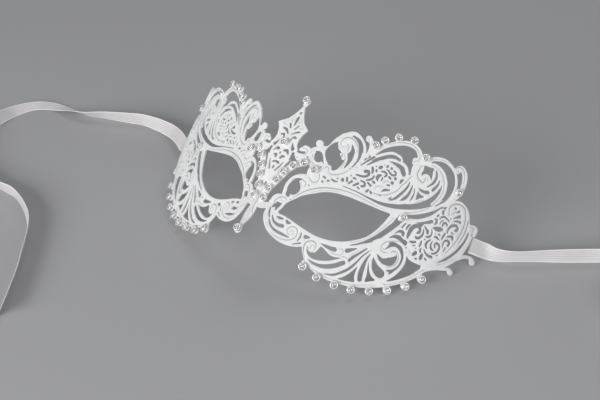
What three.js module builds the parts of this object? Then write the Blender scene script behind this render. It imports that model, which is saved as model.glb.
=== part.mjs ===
// Masquerade mask: one laser-cut, bent and white-coated metal sheet, forty-seven clear stones in round cups, two satin ties.
// Millimetres, +Z up, the face of the mask looks to -Y and leans back; it stands on its lower rim and on its temple tails.
import * as THREE from "three";
import { mergeVertices } from "three/addons/utils/BufferGeometryUtils.js";

// Driving sizes
const SHEET = 1.0; // thickness of the coated sheet
const LEAN = (45.8 * Math.PI) / 180; // how far the sheet leans back as it stands
const STONE_R = 1.95; // cup radius
const STONE_H = 1.5; // cup height
const STONE_CROWN = 0.7; // stone above the cup
const TAB_R = 1.7; // round pad of the sheet behind each stone
const GAP = 0.3;
const TIE_W = 7.6; // ribbon width
const TIE_T = 0.7;
const CELL = 0.25; // step of the grid that the pattern's outline is followed on
const REACH = 109; // half length of the flat sheet
const LOW = -10.5,
  HIGH = 72;
// Depth of the bent sheet behind the middle of the nose, over the half width x
const CURVE = [7.99, 0.3527, 0.00794, -0.000175, 0.00000144202];
// The nose ridge pushes forward low down, the leaf above it leans back
const RIDGE = [
  [-5, -9.5],
  [0, -7.6],
  [8, -4.0],
  [17, -0.6],
  [30, 0.5],
  [46, 3.0],
  [69, 8.1],
  [80, 9.8],
];
const RIDGE_WIDTH = 8;

// The pattern of the right half in the flat sheet: u along the sheet from the middle, v up it.
// Each band or slot has its widths along the way and the points that its centre line runs through.
const bands = {
  lozenge: [[2, 3.4, 4.2, 2.2, 1.2], [[0, 17], [0, 12], [0, 8], [0, 4.4], [0, 1.5]]],
  bridge: [[3.2, 3, 2.2], [[0, 15], [3, 14.6], [6.2, 16.2]]],
  stalk: [[3, 3.6, 5.2, 8, 10], [[0, 16], [0, 22], [0, 28], [0, 34], [0, 39]]],
  chain: [[3.4, 3.2, 3.2, 3.2, 3], [[1.2, 17], [2.3, 23], [4.4, 28], [8.5, 36.4], [13.2, 40.2]]],
  curl_a: [[2.2, 1.8, 1.6], [[6.5, 43.5], [9, 43.6], [9.5, 45.6]]],
  curl_a_head: [[3, 3.6], [[11, 46.2], [12.4, 45.8]]],
  curl_a_tie: [[4.6, 5, 4], [[10, 42.2], [13.5, 43.6], [16.6, 41.6]]],
  arch_b: [[1.9, 1.7, 1.7, 1.8], [[13.6, 44.5], [15.6, 47.9], [19.4, 48.3], [23, 43]]],
  ball_b: [[3.2, 3.2], [[16.5, 50.9], [16.8, 50.9]]],
  arch_post: [[4.4, 3], [[16.2, 44.4], [14.6, 46]]],
  c_scroll: [[2.4, 1.7, 1.7, 2, 1.9, 1.7, 2], [[17.4, 49.2], [20.9, 50.4], [24.1, 56.6], [30.2, 61.2], [35.6, 58], [37.4, 54], [37.2, 48]]],
  paisley_head: [[5.2, 6.8, 5], [[26.8, 57.4], [27.9, 54.6], [28.6, 53.4]]],
  paisley_arc: [[4.4, 2.6, 1.9, 1.9, 2.6], [[28, 57.8], [31.6, 57.2], [34.1, 53], [34.2, 48.5], [31.6, 42.8]]],
  ball_c: [[2.6, 2.8], [[28.3, 49.6], [28.5, 49]]],
  stem_c: [[1.2, 1.3, 1.6], [[29.8, 50.9], [30.8, 47.6], [29.6, 42.6]]],
  ball_d: [[2.8, 2, 1.7, 1.6], [[37, 61.6], [38.7, 60.4], [39.5, 57.5], [39, 53.5]]],
  tie_t1: [[2.4, 2.4], [[41, 59.4], [41.4, 55.4]]],
  top_arch: [[2, 1.9, 1.9, 2.2, 2, 2.4], [[41.6, 56.6], [44.8, 60.8], [49.2, 64], [54.6, 66.4], [59.4, 65.8], [62.8, 62.6]]],
  arch_c: [[1.5, 1.2, 1.2, 1.2], [[38.4, 49.8], [43.4, 55.4], [50.4, 59.6], [55, 57.2]]],
  arch_d: [[1.3, 1.2, 1.3, 1.4], [[44.8, 52.6], [50.4, 56.4], [57.4, 56], [60.2, 51]]],
  panel_fill: [[5, 9, 13.5, 16, 13], [[26, 39], [34, 42.5], [42, 45.2], [49.4, 47.2], [53, 47.6]]],
  panel_wall: [[3, 3.2, 3], [[58.9, 52], [58, 45], [53.4, 39.6]]],
  lid: [[6, 8.6, 7.4, 5, 3.4, 3.4, 3.6], [[15, 25.6], [20, 31.6], [28, 35.2], [38, 35.6], [48, 34.6], [56, 34.2], [61, 33.8]]],
  brow_plate: [[6, 8.5, 7], [[19.6, 40.6], [20.4, 36.8], [23, 39.6]]],
  brow_wave: [[3.6, 4.4], [[24.4, 41.4], [30, 41]]],
  lid_upper: [[2.6, 2.4, 2.4, 2.6, 2.4], [[32, 38], [42, 37.6], [50, 37.6], [56.6, 38], [62, 40.4]]],
  fan_rim: [[2.4, 2.6, 2.4, 2.2, 2.2], [[60, 40], [66, 42.2], [71.4, 46.4], [74.4, 51], [75.4, 56]]],
  fan_a: [[1.2, 1.2, 1.5], [[60.8, 52.5], [60.4, 45.6], [57.4, 40.2]]],
  fan_b: [[1.3, 1.2, 1.4], [[63, 50.4], [62.4, 45.4], [59.6, 40.6]]],
  fan_c: [[1.3, 1.2, 1.4], [[64.8, 50], [64.7, 45.4], [63.8, 41.4]]],
  fan_d: [[1.3, 1.3, 1.4], [[66.2, 49.8], [66.4, 46], [66.4, 42.6]]],
  fan_e: [[1, 1.3, 1.4], [[66.2, 48], [69.4, 47], [72.4, 47.2]]],
  fan_f: [[2.4, 1.6, 2], [[66, 50.4], [69.4, 49.9], [73, 50]]],
  fan_body: [[4.2, 5.4, 5.6, 4.6], [[63, 61.4], [63.2, 57], [63.8, 53.6], [64, 50.8]]],
  fan_body2: [[3.2, 4.4], [[64.6, 52.2], [68.2, 52.6]]],
  fan_ball: [[4.4, 4], [[67.8, 54.2], [68.6, 53.8]]],
  fan_lobe: [[2.6, 2, 1.8], [[61, 59.4], [61.4, 60.6], [63, 62]]],
  fan_top: [[2, 2.6, 3.4, 3.8, 3.2, 2.2, 1.2], [[64, 60.8], [69.6, 61.4], [74.2, 59.4], [77, 55.6], [78, 51.4], [77.4, 47.6], [75.6, 44.6]]],
  fan_hook: [[1.5, 1.3, 1.4], [[71, 60], [71.5, 56.6], [70.6, 54]]],
  fan_hook2: [[2, 1.6, 1.8, 2.2], [[72.6, 60.4], [74.4, 57], [73.6, 52.8], [70.6, 50.6]]],
  outer_arc: [[2, 1.9, 1.9, 2, 2.1, 2.6, 3], [[65.6, 62.4], [69.8, 64.9], [74.4, 65.4], [79.6, 62.6], [82.6, 57.4], [83, 52], [81.4, 47]]],
  sweep_a: [[3, 2.4, 2.2, 2.2, 2.6], [[60.6, 34.6], [66, 36.6], [72, 39.6], [77, 43.4], [80, 47]]],
  sweep_b: [[2, 1.8, 1.9, 2.4], [[64, 32.6], [71, 34.6], [77, 38.4], [81.6, 43.6]]],
  loop_e: [[3, 2.4, 2.2, 2.2, 2.2, 2.6], [[81.2, 63.8], [82.2, 65.4], [85.2, 63.8], [86.8, 59], [86.4, 54.4], [84, 50.4]]],
  panel_r_top: [[2.4, 3.4, 3.4, 3], [[83.4, 47.4], [88, 49.4], [93, 47.2], [96.4, 41]]],
  panel_r_edge: [[3, 3, 2.6, 2.4, 2.2], [[96.6, 42], [96.6, 36], [94.2, 29], [89.4, 22.8], [84, 18.8]]],
  panel_r_fill: [[11, 14, 14, 10], [[88.4, 44.2], [88.2, 38], [86.4, 31], [83.4, 25]]],
  panel_r_fill2: [[9, 11, 9], [[82, 38], [80.4, 31.6], [79, 24.4]]],
  panel_r_fill3: [[4, 8, 9], [[67, 30], [72, 29.6], [76, 26.4]]],
  panel_r_base: [[2.2, 3.2, 4.2, 5], [[71.6, 21.8], [75, 18.6], [80, 18.4], [85, 19.4]]],
  panel_r_left: [[1.7, 1.6, 1.8], [[59.6, 20.2], [63.4, 26], [67.4, 32.4]]],
  panel_r_lace: [[1.2, 1.2, 1.3], [[62.6, 22.6], [66.4, 26], [69.6, 25]]],
  panel_r_lace2: [[1.2, 1.3], [[66, 28.4], [71, 24.4]]],
  strap: [[2.2, 2.2, 2.6, 3.2, 3.4, 3], [[100.2, 39], [99.8, 34], [98.2, 28.8], [94.6, 23.8], [90.2, 20], [86, 17.4]]],
  tab: [[4, 4.6, 2.4], [[97.6, 41], [100.6, 41.2], [101.6, 39.6]]],
  tail_up: [[2.4, 1.6, 1.4, 2.6], [[95.6, 24.8], [101, 28.1], [105, 28.7], [106.8, 27.2]]],
  tail_low: [[3.4, 2.6, 1.5, 1.5, 2.4], [[83.4, 15.8], [87.6, 17.8], [92.6, 19], [95.6, 19.6], [97, 18.6]]],
  rim: [[2.2, 2, 2.3, 2.1, 2.1, 2.6, 2.1, 2, 2.4], [[28.4, 2.6], [31.6, -1.6], [37.2, -4.2], [44, -5.1], [54, -3.9], [64, -0.2], [72, 3.9], [79.4, 9.9], [83.6, 15.4]]],
  lobe_head: [[2.2, 2.6, 5.2, 5], [[28, 3.4], [27.6, 6.4], [30.8, 6.8], [31.6, 6]]],
  nose_outer: [[1.8, 2.6, 2.8, 2.8, 2.4, 2.2], [[6.1, 16.6], [7.1, 10.8], [10.6, 5.8], [16, 3.3], [22, 3.2], [27.6, 5.4]]],
  nose_top: [[2.6, 3.4, 4.2], [[6.4, 17.6], [7.9, 20.4], [10.6, 20.8]]],
  nose_fill: [[4, 8.4, 10.2, 9, 6.4], [[9.2, 14], [12.4, 9.6], [17, 8.2], [22, 7.4], [26, 8]]],
  nose_ball: [[6.4, 6.6], [[19.6, 8], [20.4, 8]]],
  nose_arc: [[1.8, 1.4, 1.8], [[20, 4.2], [25.4, 6], [25.2, 10.6]]],
  loop_in: [[1.6, 1.4, 1.5, 2.4, 2.2], [[9.9, 23.4], [9.8, 28.4], [12.2, 32.6], [16.6, 34], [18, 32]]],
  eye_low: [[2.4, 2, 1.9, 2.2, 2.4, 2.6, 2.8, 3.2, 3.4], [[10.4, 16.6], [13.6, 13.1], [20, 11.4], [29, 9.6], [38, 9.9], [46.4, 12.9], [53.4, 18.2], [58.4, 25.6], [60.6, 33]]],
  eye_in: [[2.2, 1.9, 2.2], [[10.2, 14.6], [11.6, 19.6], [15.6, 24.6]]],
  cheek_sweep: [[1.8, 1.8, 2.6, 3.6], [[44, 11], [50, 12.8], [55.6, 15.8], [59, 18]]],
  petal_a: [[1.2, 1.2, 1.5, 1.5, 1.8], [[33.4, 7.9], [41.4, 5.1], [47.4, 7.4], [52, 11.8], [56, 15.2]]],
  petal_b: [[1.4, 1.2, 1.3, 1.5], [[28.8, 3], [33.2, -0.6], [41, 1.5], [48.4, 7.2]]],
  petal_c: [[1.6, 2.2, 2, 1.7, 1.8], [[34.4, -3.4], [42, -1.8], [48.4, 2.9], [52.4, 9], [56.4, 15]]],
  petal_d: [[1.3, 1.2, 1.2, 1.5], [[44, -4.8], [50.4, 0], [54.2, 8], [57.4, 15]]],
  petal_e: [[1.5, 1.1, 1.2, 1.4], [[55.6, -3.2], [54.5, 2.4], [55.6, 8.6], [58, 15.4]]],
  petal_f: [[1.4, 1.1, 1.2, 1.4], [[58.4, -2.2], [59, 1.4], [58, 8.2], [58.4, 15]]],
  petal_g: [[1.4, 1.2, 1.4], [[65.6, 2], [60.8, 5.4], [58.9, 13.6]]],
  petal_h: [[2.2, 1.5, 1.4, 1.9], [[67.6, 2.2], [67.4, 7.2], [62.4, 9.6], [59.4, 14.4]]],
  ear_ball: [[2.2, 2.4], [[43.8, 8.6], [44.6, 8.6]]],
  lobe_ball: [[3.4, 3.2], [[44, 8.3], [45, 7.2]]],
  hub: [[5, 6, 4.6], [[57.6, 15.4], [59, 17.2], [61.2, 19.6]]],
  spiral_ball: [[3.8, 4, 3], [[62.6, 14.4], [64.4, 15.4], [67, 16.7]]],
  ring_in: [[2, 1.7, 1.6, 1.6, 1.6, 1.6], [[63.6, 17.6], [67.4, 18.7], [70.3, 15.8], [69.4, 10.9], [65.6, 9.3], [60.8, 12.6]]],
  ring_out: [[2.4, 1.6, 1.5, 1.5, 1.6, 2], [[60.6, 20.4], [65.6, 22.5], [71, 20.2], [72.9, 14.2], [70.8, 8], [66.8, 3.2]]],
  arch_c_loop: [[1.03, 1.12, 1.07, 1.03, 1.03], [[51.2, 59.4], [53.3, 59.2], [54.5, 58.2], [55.1, 57], [56.6, 56.4]]],
  corner_lobe: [[2.32, 2.32], [[60, 60], [60.7, 60.5]]],
  lace: [[1.69, 2.08, 1.9], [[71.1, 23.4], [74, 21.7], [76.8, 20]]],
  fan_fill: [[3.71, 5.11, 5.16, 2.84], [[65.9, 49.7], [68.4, 52.3], [70.4, 55.1], [70.8, 57.8]]],
  fan_fill2: [[2.33, 2.8, 2.33], [[62.3, 52.3], [62.3, 49.7], [62.3, 47.2]]],
};
const openings = {
  eye: [[10.9, 14.2], [13, 18.6], [17, 24.4], [22.4, 28.2], [30, 31.5], [38, 32.9], [48, 33], [55.5, 32.9], [58.6, 33], [59.1, 32.7], [58.8, 31.6], [57.2, 27], [52.8, 19.3], [46, 14.4], [37.6, 11.2], [30.6, 10.6], [22, 12], [15, 13.7]],
  arch_hole: [[16.4, 46.4], [18.2, 46.9], [20.8, 44.2], [19.2, 42.5], [17.2, 42.9]],
  heart_hole: [[20.4, 48.8], [23.8, 54.6], [26.2, 50.9], [29.2, 47.2], [28.6, 43], [26.3, 41.5], [25.2, 43.5], [23.2, 44]],
  loop_hole: [[11, 24.6], [11.1, 28.8], [14.1, 31.2], [16.2, 27.4], [14.2, 24.3]],
  lobe_gap: [[29.1, 3.8], [29.9, 2], [31.9, 0.6], [34.6, 0.4], [37.7, 1.1], [40.8, 2.4], [43.6, 4.2], [45.3, 5.6], [43.1, 5], [40.7, 4.8], [38.4, 5.6], [36.1, 6.7], [34.8, 6.9], [34.2, 5.6], [33.4, 3.7], [31.8, 2.8], [30.1, 3.2]],
  petal_gap_b: [[30.8, -0.5], [33.1, -1.7], [35.9, -2.2], [38.9, -2.1], [42, -1.1], [44.9, 0.6], [46.9, 2.3], [48.2, 3.7], [47.4, 5], [45.7, 4.1], [43.8, 2.5], [41.3, 1], [38.6, -0.2], [35.9, -0.8], [33.1, -0.7]],
  petal_gap_d: [[47.2, -3.9], [49.2, -2.3], [50.9, -0.3], [52.3, 2], [53.8, 4.7], [53.9, 2], [54.2, -0.3], [55, -2.2], [52.6, -3.1], [49.7, -3.7]],
  petal_gap_f: [[59.5, -0.4], [61.5, 0.5], [63.7, 2], [61.8, 2.8], [60.3, 4.1], [59, 6.3], [57.8, 8.8], [58.4, 5.3], [59.1, 2.9]],
  petal_gap_g: [[59.1, 11.7], [59, 10], [59.5, 8.1], [60.3, 6.3], [61.7, 4.8], [63.4, 3.8], [65, 3.6], [66.3, 4.3], [66.9, 5.7], [66.4, 7], [64.8, 7.9], [62.7, 8.7], [61, 9.9], [59.9, 10.9]],
  ring_gap2: [[60.1, 13.6], [60.8, 12.2], [62.1, 11], [63.9, 10.2], [65.9, 10.3], [67.7, 11.3], [68.7, 12.9], [69, 14.5], [67.4, 13.9], [65.6, 14.1], [64.7, 13.1], [63.4, 12.6], [61.9, 13]],
  fan_gap6: [[65.9, 54.8], [65.6, 55.6], [65.7, 57], [66.5, 58.6], [68.1, 59.8], [70, 60.4], [70.5, 60.2], [70.5, 58.7], [70.8, 57], [71.1, 55.4], [70.9, 54.8], [70.4, 55.2], [69.7, 56], [68.6, 56.5], [67.4, 56.4], [66.5, 55.7]],
  fan_gap3b: [[67.1, 47.6], [68, 47], [69.3, 46.6], [70.7, 46.5], [70.5, 45.9], [68.9, 44.7], [68, 43.8], [67.3, 43.6], [67.4, 44.6], [67.2, 46]],
  fan_gap2: [[63.7, 49.6], [64.2, 48], [64.3, 46.1], [64, 43.9], [63.2, 41.9], [61.9, 40.8], [60.5, 40.3], [61.2, 41.4], [62.2, 43.2], [62.9, 45.2], [63.3, 47.2], [63.5, 49]],
  panel_crescent: [[50.6, 55.5], [52.5, 55.7], [55, 55.6], [57.1, 54.8], [58.6, 53.5], [59, 52.2], [58.5, 51.3], [57.6, 51.4], [56.5, 52.4], [55.4, 53.7], [53.8, 54.8], [52.2, 55.3]],
};
const slots = {
  nose_slot2: [[0.5, 0.9, 1.1, 1.3, 0.5], [[8.7, 9.7], [10.2, 7.4], [12.5, 6.1], [16, 5.6], [19.4, 5.3]]],
  nose_slot3: [[0.4, 1, 1.4, 1.7], [[9.2, 12], [10.6, 9.8], [12.8, 8.9], [14.9, 9.1]]],
  nose_slot5: [[1.8, 1.2, 0.4], [[26.6, 8.4], [27.6, 8.7], [28.6, 8.8]]],
  paisley_gap: [[0.4, 1.9, 2, 1.4, 0.3], [[31, 56], [32.2, 53.2], [32.2, 50.6], [32.1, 47.6], [31.3, 44.6]]],
  scroll_gap: [[0.4, 1, 1, 0.4], [[30, 60.3], [33.4, 59.2], [35.4, 57], [36.5, 54.6]]],
  arch_gap2: [[1.3, 1.5, 1.4, 1.1, 0.4], [[53.8, 57.8], [50.6, 58.2], [46.6, 56.2], [43.3, 53], [40.7, 50]]],
  lid_gap: [[0.3, 0.4, 0.7, 1.4, 2, 1.8, 1.9, 1.5, 0.5], [[34, 36.7], [41, 36.6], [47, 36], [53.6, 35.8], [60, 37.1], [66.4, 39.4], [72, 43.2], [75.6, 47.8], [76.8, 53.6]]],
  sweep_gap: [[1.3, 1.7, 1.6, 0.5], [[67, 34.9], [71.6, 36.5], [76.6, 40.2], [80.4, 44.8]]],
  arc_gap: [[0.3, 1.3, 2.4, 2.5, 1.7, 1, 0.3], [[77.4, 44.4], [81.1, 49.6], [81.7, 56], [79.4, 61], [74.6, 63.8], [71.2, 63.7], [68.2, 62.4]]],
  loop_gap: [[0.8, 1.8, 1.2], [[83, 63.2], [83.8, 60.6], [84.5, 57.4]]],
  fan_notch: [[0.7, 1.8, 0.5], [[59, 61.6], [58.6, 59.6], [60.4, 55]]],
  edge_gap: [[1.2, 1.5, 1.5, 1.4, 0.4], [[98.6, 38.9], [98.3, 35], [96, 29], [92.2, 23.8], [88.8, 20.8]]],
  ring_gap: [[0.4, 1.2, 1.4, 1.2, 0.9, 1.1, 0.5], [[63, 17.3], [65.2, 19.9], [68.8, 20.4], [71.5, 17], [71.6, 12.6], [69.6, 9.2], [67, 8]]],
  petal_gap_a: [[1.2, 1.4, 1, 0.8, 0.5], [[49.2, 5.9], [50.3, 7.9], [51.9, 10], [53.5, 12.2], [54.8, 14]]],
  petal_gap_c: [[0.4, 1, 1.1, 1.1, 1.1, 0.8, 0.6, 0.4], [[41.2, -3.9], [44.5, -3.1], [47.6, -0.8], [50, 1.7], [51.6, 4.1], [52.8, 6.7], [54, 9.7], [56.1, 13.2]]],
  petal_gap_e: [[2.1, 2.3, 1.9, 1.3, 0.8, 0.4], [[56.9, -0.3], [56.3, 2.3], [56.2, 5.7], [56.3, 8.4], [56.7, 10.5], [57.3, 12.2]]],
  lid_low_gap: [[0.3, 0.6, 0.8, 1.2, 1.7, 2, 2.1, 2.2, 1.5], [[47.1, 12.6], [49.6, 14], [51.9, 15.8], [54.1, 17.7], [56.4, 20], [58.7, 23], [60.7, 26.2], [62.3, 28.8], [63.1, 30.7]]],
  ear_gap: [[0.3, 1.4, 1.8, 2], [[34.5, 8.3], [37.1, 8], [39.6, 7.9], [41.2, 8.1]]],
  ear_gap2: [[2, 1.4, 0.4], [[46.7, 9.7], [48.2, 10.7], [50.5, 12.3]]],
  fan_slot7: [[0.77, 1.06, 1.24, 1.14, 0.84, 0.47], [[71.8, 59.5], [72.6, 58], [72.9, 56.4], [72.5, 54.4], [71.6, 52.7], [70.4, 51.2]]],
  fan_slot5: [[0.39, 0.96, 1.33, 1.41], [[74.8, 56], [74.9, 54.3], [74.2, 52.3], [73.4, 50.8]]],
  fan_slot8: [[0.39, 0.78, 1.06, 1.52, 1.52], [[76.7, 54.2], [76.8, 52.4], [76.6, 50.5], [75.8, 48.4], [74.8, 46.2]]],
  fan_slot4: [[0.47, 1.03, 1.49, 1.58], [[67.1, 49], [69, 48.5], [70.5, 48.5], [71.7, 48.9]]],
  fan_slot3: [[0.33, 0.56, 0.65, 0.37], [[65.2, 48.2], [65.7, 46.1], [65.7, 43.9], [65.2, 42.2]]],
  fan_slot1: [[0.37, 0.84, 1.02, 1.16, 1.11, 0.65, 0.28], [[62, 50], [61.9, 48.1], [61.2, 45.8], [59.9, 43.1], [58.6, 40.8], [57, 39.2], [55.9, 38.7]]],
};
const leaf = [[0, 67.6], [0.9, 64.4], [2.2, 61.3], [4.4, 57.7], [8.6, 54.7], [6.9, 52], [6.1, 48.8], [6.5, 46.2], [7.8, 44.4], [7.4, 41.6], [6.2, 38.6], [4.8, 35.4], [3.2, 31.6], [0, 30]];
const fanPlate = [[28.2, 2.5], [28.7, 4.2], [32.1, 3.1], [33.9, 6.1], [34.4, 8.5], [41.8, 10], [48.2, 12.4], [54.1, 15.2], [57.2, 16.2], [60.8, 14.7], [62.7, 12.5], [65.9, 10.1], [67.2, 7.4], [68.4, 4.4], [66, 1.7], [60.6, -1.2], [55.4, -3.1], [49.9, -4.2], [43.6, -4.6], [36.9, -3.8], [32.1, -1.6]];
const stones = {
  rim1: [30.2, -4.8],
  rim2: [38, -7],
  rim3: [46.8, -7.2],
  rim4: [54.7, -6.3],
  rim5: [62.7, -3.8],
  rim6: [70.3, -0.4],
  rim7: [77.5, 4.5],
  rim8: [83.9, 10.4],
  top1: [41, 59.7],
  top2: [44.2, 63.4],
  top3: [49.5, 67.2],
  top4: [56.7, 68.6],
  top5: [64.6, 63.2],
  side: [85.2, 54.4],
  corner: [64.9, 33.6],
  brow: [18.6, 38.6],
  nose1: [2.1, 18],
  nose2: [2.4, 22.8],
  nose3: [4.2, 27.8],
  nose4: [6, 32.4],
  nose5: [9, 36.8],
  nose6: [13.1, 39.9],
};
const centreStones = {
  spade_tip: [0, 68.4],
  spade_mid: [0, 45.6],
  nose_tip: [0, 0],
};

const lerp = (table, t) => {
  if (t <= table[0][0]) return table[0][1];
  for (let i = 1; i < table.length; i++)
    if (t <= table[i][0]) {
      const [a, b] = [table[i - 1], table[i]];
      return a[1] + ((b[1] - a[1]) * (t - a[0])) / (b[0] - a[0]);
    }
  return table[table.length - 1][1];
};

// A centre line as short steps with the half width at each
function follow(points, widths, closed = false) {
  if (points.length === 1) points = [points[0], [points[0][0] + 0.01, points[0][1]]];
  const curve = new THREE.CatmullRomCurve3(
    points.map(([u, v]) => new THREE.Vector3(u, v, 0)),
    closed,
    "centripetal",
  );
  const n = 8 * (closed ? points.length : points.length - 1);
  const line = [];
  for (let i = 0; i <= n; i++) {
    const p = curve.getPoint(i / n);
    const t = (i / n) * (widths.length - 1),
      k = Math.min(Math.floor(t), widths.length - 2);
    const w = widths.length < 2 ? widths[0] : widths[k] + (widths[k + 1] - widths[k]) * (t - k);
    line.push([p.x, p.y, w / 2]);
  }
  return line;
}

// Signed distance on a grid of the right half: negative inside
const NU = Math.round(REACH / CELL) + 1,
  NV = Math.round((HIGH - LOW) / CELL) + 1;
const emptyField = () => new Float64Array(NU * NV).fill(5);
function addLine(field, line) {
  for (let s = 1; s < line.length; s++) {
    const [au, av, aw] = line[s - 1],
      [bu, bv, bw] = line[s];
    const r = Math.max(aw, bw) + 2,
      du = bu - au,
      dv = bv - av,
      len = Math.max(du * du + dv * dv, 1e-12);
    const i0 = Math.max(0, Math.ceil((Math.min(au, bu) - r) / CELL)),
      i1 = Math.min(NU - 1, Math.floor((Math.max(au, bu) + r) / CELL));
    const j0 = Math.max(0, Math.ceil((Math.min(av, bv) - r - LOW) / CELL)),
      j1 = Math.min(NV - 1, Math.floor((Math.max(av, bv) + r - LOW) / CELL));
    for (let j = j0; j <= j1; j++)
      for (let i = i0; i <= i1; i++) {
        const u = i * CELL,
          v = LOW + j * CELL;
        const t = Math.min(1, Math.max(0, ((u - au) * du + (v - av) * dv) / len));
        const d = Math.hypot(u - au - t * du, v - av - t * dv) - (aw + (bw - aw) * t);
        if (d < field[j * NU + i]) field[j * NU + i] = d;
      }
  }
}
function addArea(field, outline) {
  for (let j = 0; j < NV; j++)
    for (let i = 0; i < NU; i++) {
      const u = i * CELL,
        v = LOW + j * CELL;
      let inside = false,
        d = 9;
      for (let k = 0, m = outline.length - 1; k < outline.length; m = k++) {
        const [au, av] = outline[m],
          [bu, bv] = outline[k];
        if (av > v !== bv > v && u < ((bu - au) * (v - av)) / (bv - av) + au) inside = !inside;
        const du = bu - au,
          dv = bv - av,
          t = Math.min(1, Math.max(0, ((u - au) * du + (v - av) * dv) / (du * du + dv * dv + 1e-12)));
        d = Math.min(d, Math.hypot(u - au - t * du, v - av - t * dv));
      }
      const s = inside ? -d : d;
      if (s < field[j * NU + i]) field[j * NU + i] = s;
    }
}
const metal = emptyField(),
  cut = emptyField();
for (const [widths, points] of Object.values(bands)) addLine(metal, follow(points, widths));
addArea(metal, fanPlate);
addArea(metal, [...leaf, ...leaf.map(([u, v]) => [-u, v]).reverse()]);
for (const points of Object.values(openings)) addArea(cut, follow(points, [1], true).slice(0, -1));
for (const [widths, points] of Object.values(slots)) addLine(cut, follow(points, widths));
// A pad behind each stone, with a neck to the nearest metal
const sample = (field, u, v) => {
  const a = u / CELL,
    b = (v - LOW) / CELL,
    i = Math.min(NU - 2, Math.max(0, Math.floor(a))),
    j = Math.min(NV - 2, Math.max(0, Math.floor(b)));
  const f = (p, q) => field[q * NU + p];
  return (
    f(i, j) * (1 - a + i) * (1 - b + j) +
    f(i + 1, j) * (a - i) * (1 - b + j) +
    f(i, j + 1) * (1 - a + i) * (b - j) +
    f(i + 1, j + 1) * (a - i) * (b - j)
  );
};
const base = metal.slice();
const pads = emptyField();
for (const [name, [u, v]] of Object.entries({ ...stones, ...centreStones })) {
  const d = sample(base, Math.max(u, 0.5), v);
  const gu = u < 0.1 ? 0 : sample(base, u + 0.3, v) - sample(base, u - 0.3, v),
    gv = sample(base, u, v + 0.3) - sample(base, u, v - 0.3),
    g = Math.hypot(gu, gv) || 1;
  const reach = Math.max(0, d + 1);
  addLine(pads, [
    [u, v, TAB_R],
    [u - (gu / g) * reach - 0.001, v - (gv / g) * reach, 1.1],
  ]);
}
const plateField = metal.map((m, i) => Math.min(Math.max(m, -cut[i]), pads[i]));
const at = (i, j) => plateField[j * NU + Math.abs(i)];

// The outline: loops where the field passes through zero, over both halves
function outlineLoops() {
  const cross = new Map(),
    next = new Map();
  const edge = (i, j, k, l) => {
    const key = i + "," + j + "," + k + "," + l;
    if (!cross.has(key)) {
      const a = at(i, j),
        b = at(k, l),
        t = Math.min(0.98, Math.max(0.02, a / (a - b)));
      cross.set(key, [(i + (k - i) * t) * CELL, LOW + (j + (l - j) * t) * CELL]);
    }
    return key;
  };
  for (let j = 0; j < NV - 1; j++)
    for (let i = -(NU - 1); i < NU - 1; i++) {
      const c = [at(i, j) < 0, at(i + 1, j) < 0, at(i + 1, j + 1) < 0, at(i, j + 1) < 0];
      const e = [
        () => edge(i, j, i + 1, j),
        () => edge(i + 1, j, i + 1, j + 1),
        () => edge(i, j + 1, i + 1, j + 1),
        () => edge(i, j, i, j + 1),
      ];
      const join = (a, b) => next.set(e[a](), e[b]());
      const code = c[0] + 2 * c[1] + 4 * c[2] + 8 * c[3];
      // metal on the left of each step
      ({
        1: () => join(0, 3),
        2: () => join(1, 0),
        3: () => join(1, 3),
        4: () => join(2, 1),
        5: () => (join(0, 3), join(2, 1)),
        6: () => join(2, 0),
        7: () => join(2, 3),
        8: () => join(3, 2),
        9: () => join(0, 2),
        10: () => (join(1, 0), join(3, 2)),
        11: () => join(1, 2),
        12: () => join(3, 1),
        13: () => join(0, 1),
        14: () => join(3, 0),
      })[code]?.();
    }
  const loops = [];
  const left = new Set(next.keys());
  while (left.size) {
    const first = left.values().next().value;
    const loop = [];
    for (let k = first; left.has(k); k = next.get(k)) {
      left.delete(k);
      loop.push(cross.get(k));
    }
    if (loop.length > 3) loops.push(loop);
  }
  return loops;
}
const area = (loop) =>
  loop.reduce((s, [u, v], i) => {
    const [a, b] = loop[(i + 1) % loop.length];
    return s + (u * b - a * v) / 2;
  }, 0);

// Fewer points, none further than the tolerance from the line
function simplify(loop, tolerance) {
  const far = (a, b, i, j) => {
    let best = -1,
      at = -1;
    for (let k = i + 1; k < j; k++) {
      const [u, v] = loop[k % loop.length];
      const du = b[0] - a[0],
        dv = b[1] - a[1],
        len = du * du + dv * dv || 1e-12,
        t = Math.min(1, Math.max(0, ((u - a[0]) * du + (v - a[1]) * dv) / len));
      const d = Math.hypot(u - a[0] - t * du, v - a[1] - t * dv);
      if (d > best) [best, at] = [d, k];
    }
    return [best, at];
  };
  const keep = (i, j) => {
    const a = loop[i % loop.length],
      b = loop[j % loop.length];
    const [d, k] = far(a, b, i, j);
    const long = Math.hypot(a[0] - b[0], a[1] - b[1]) > 9;
    if (k < 0 || (d <= tolerance && !long)) return [a];
    const mid = d <= tolerance ? Math.floor((i + j) / 2) : k;
    return mid <= i || mid >= j ? [a] : [...keep(i, mid), ...keep(mid, j)];
  };
  let opposite = 1,
    best = 0;
  loop.forEach(([u, v], i) => {
    const d = Math.hypot(u - loop[0][0], v - loop[0][1]);
    if (d > best) [best, opposite] = [d, i];
  });
  return [...keep(0, opposite), ...keep(opposite, loop.length)];
}
const loops = outlineLoops();
const outer = loops.reduce((a, b) => (area(b) > area(a) ? b : a));
const TOLERANCE = 0.43;
const shape = new THREE.Shape(simplify(outer, TOLERANCE).map(([u, v]) => new THREE.Vector2(u, v)));
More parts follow.
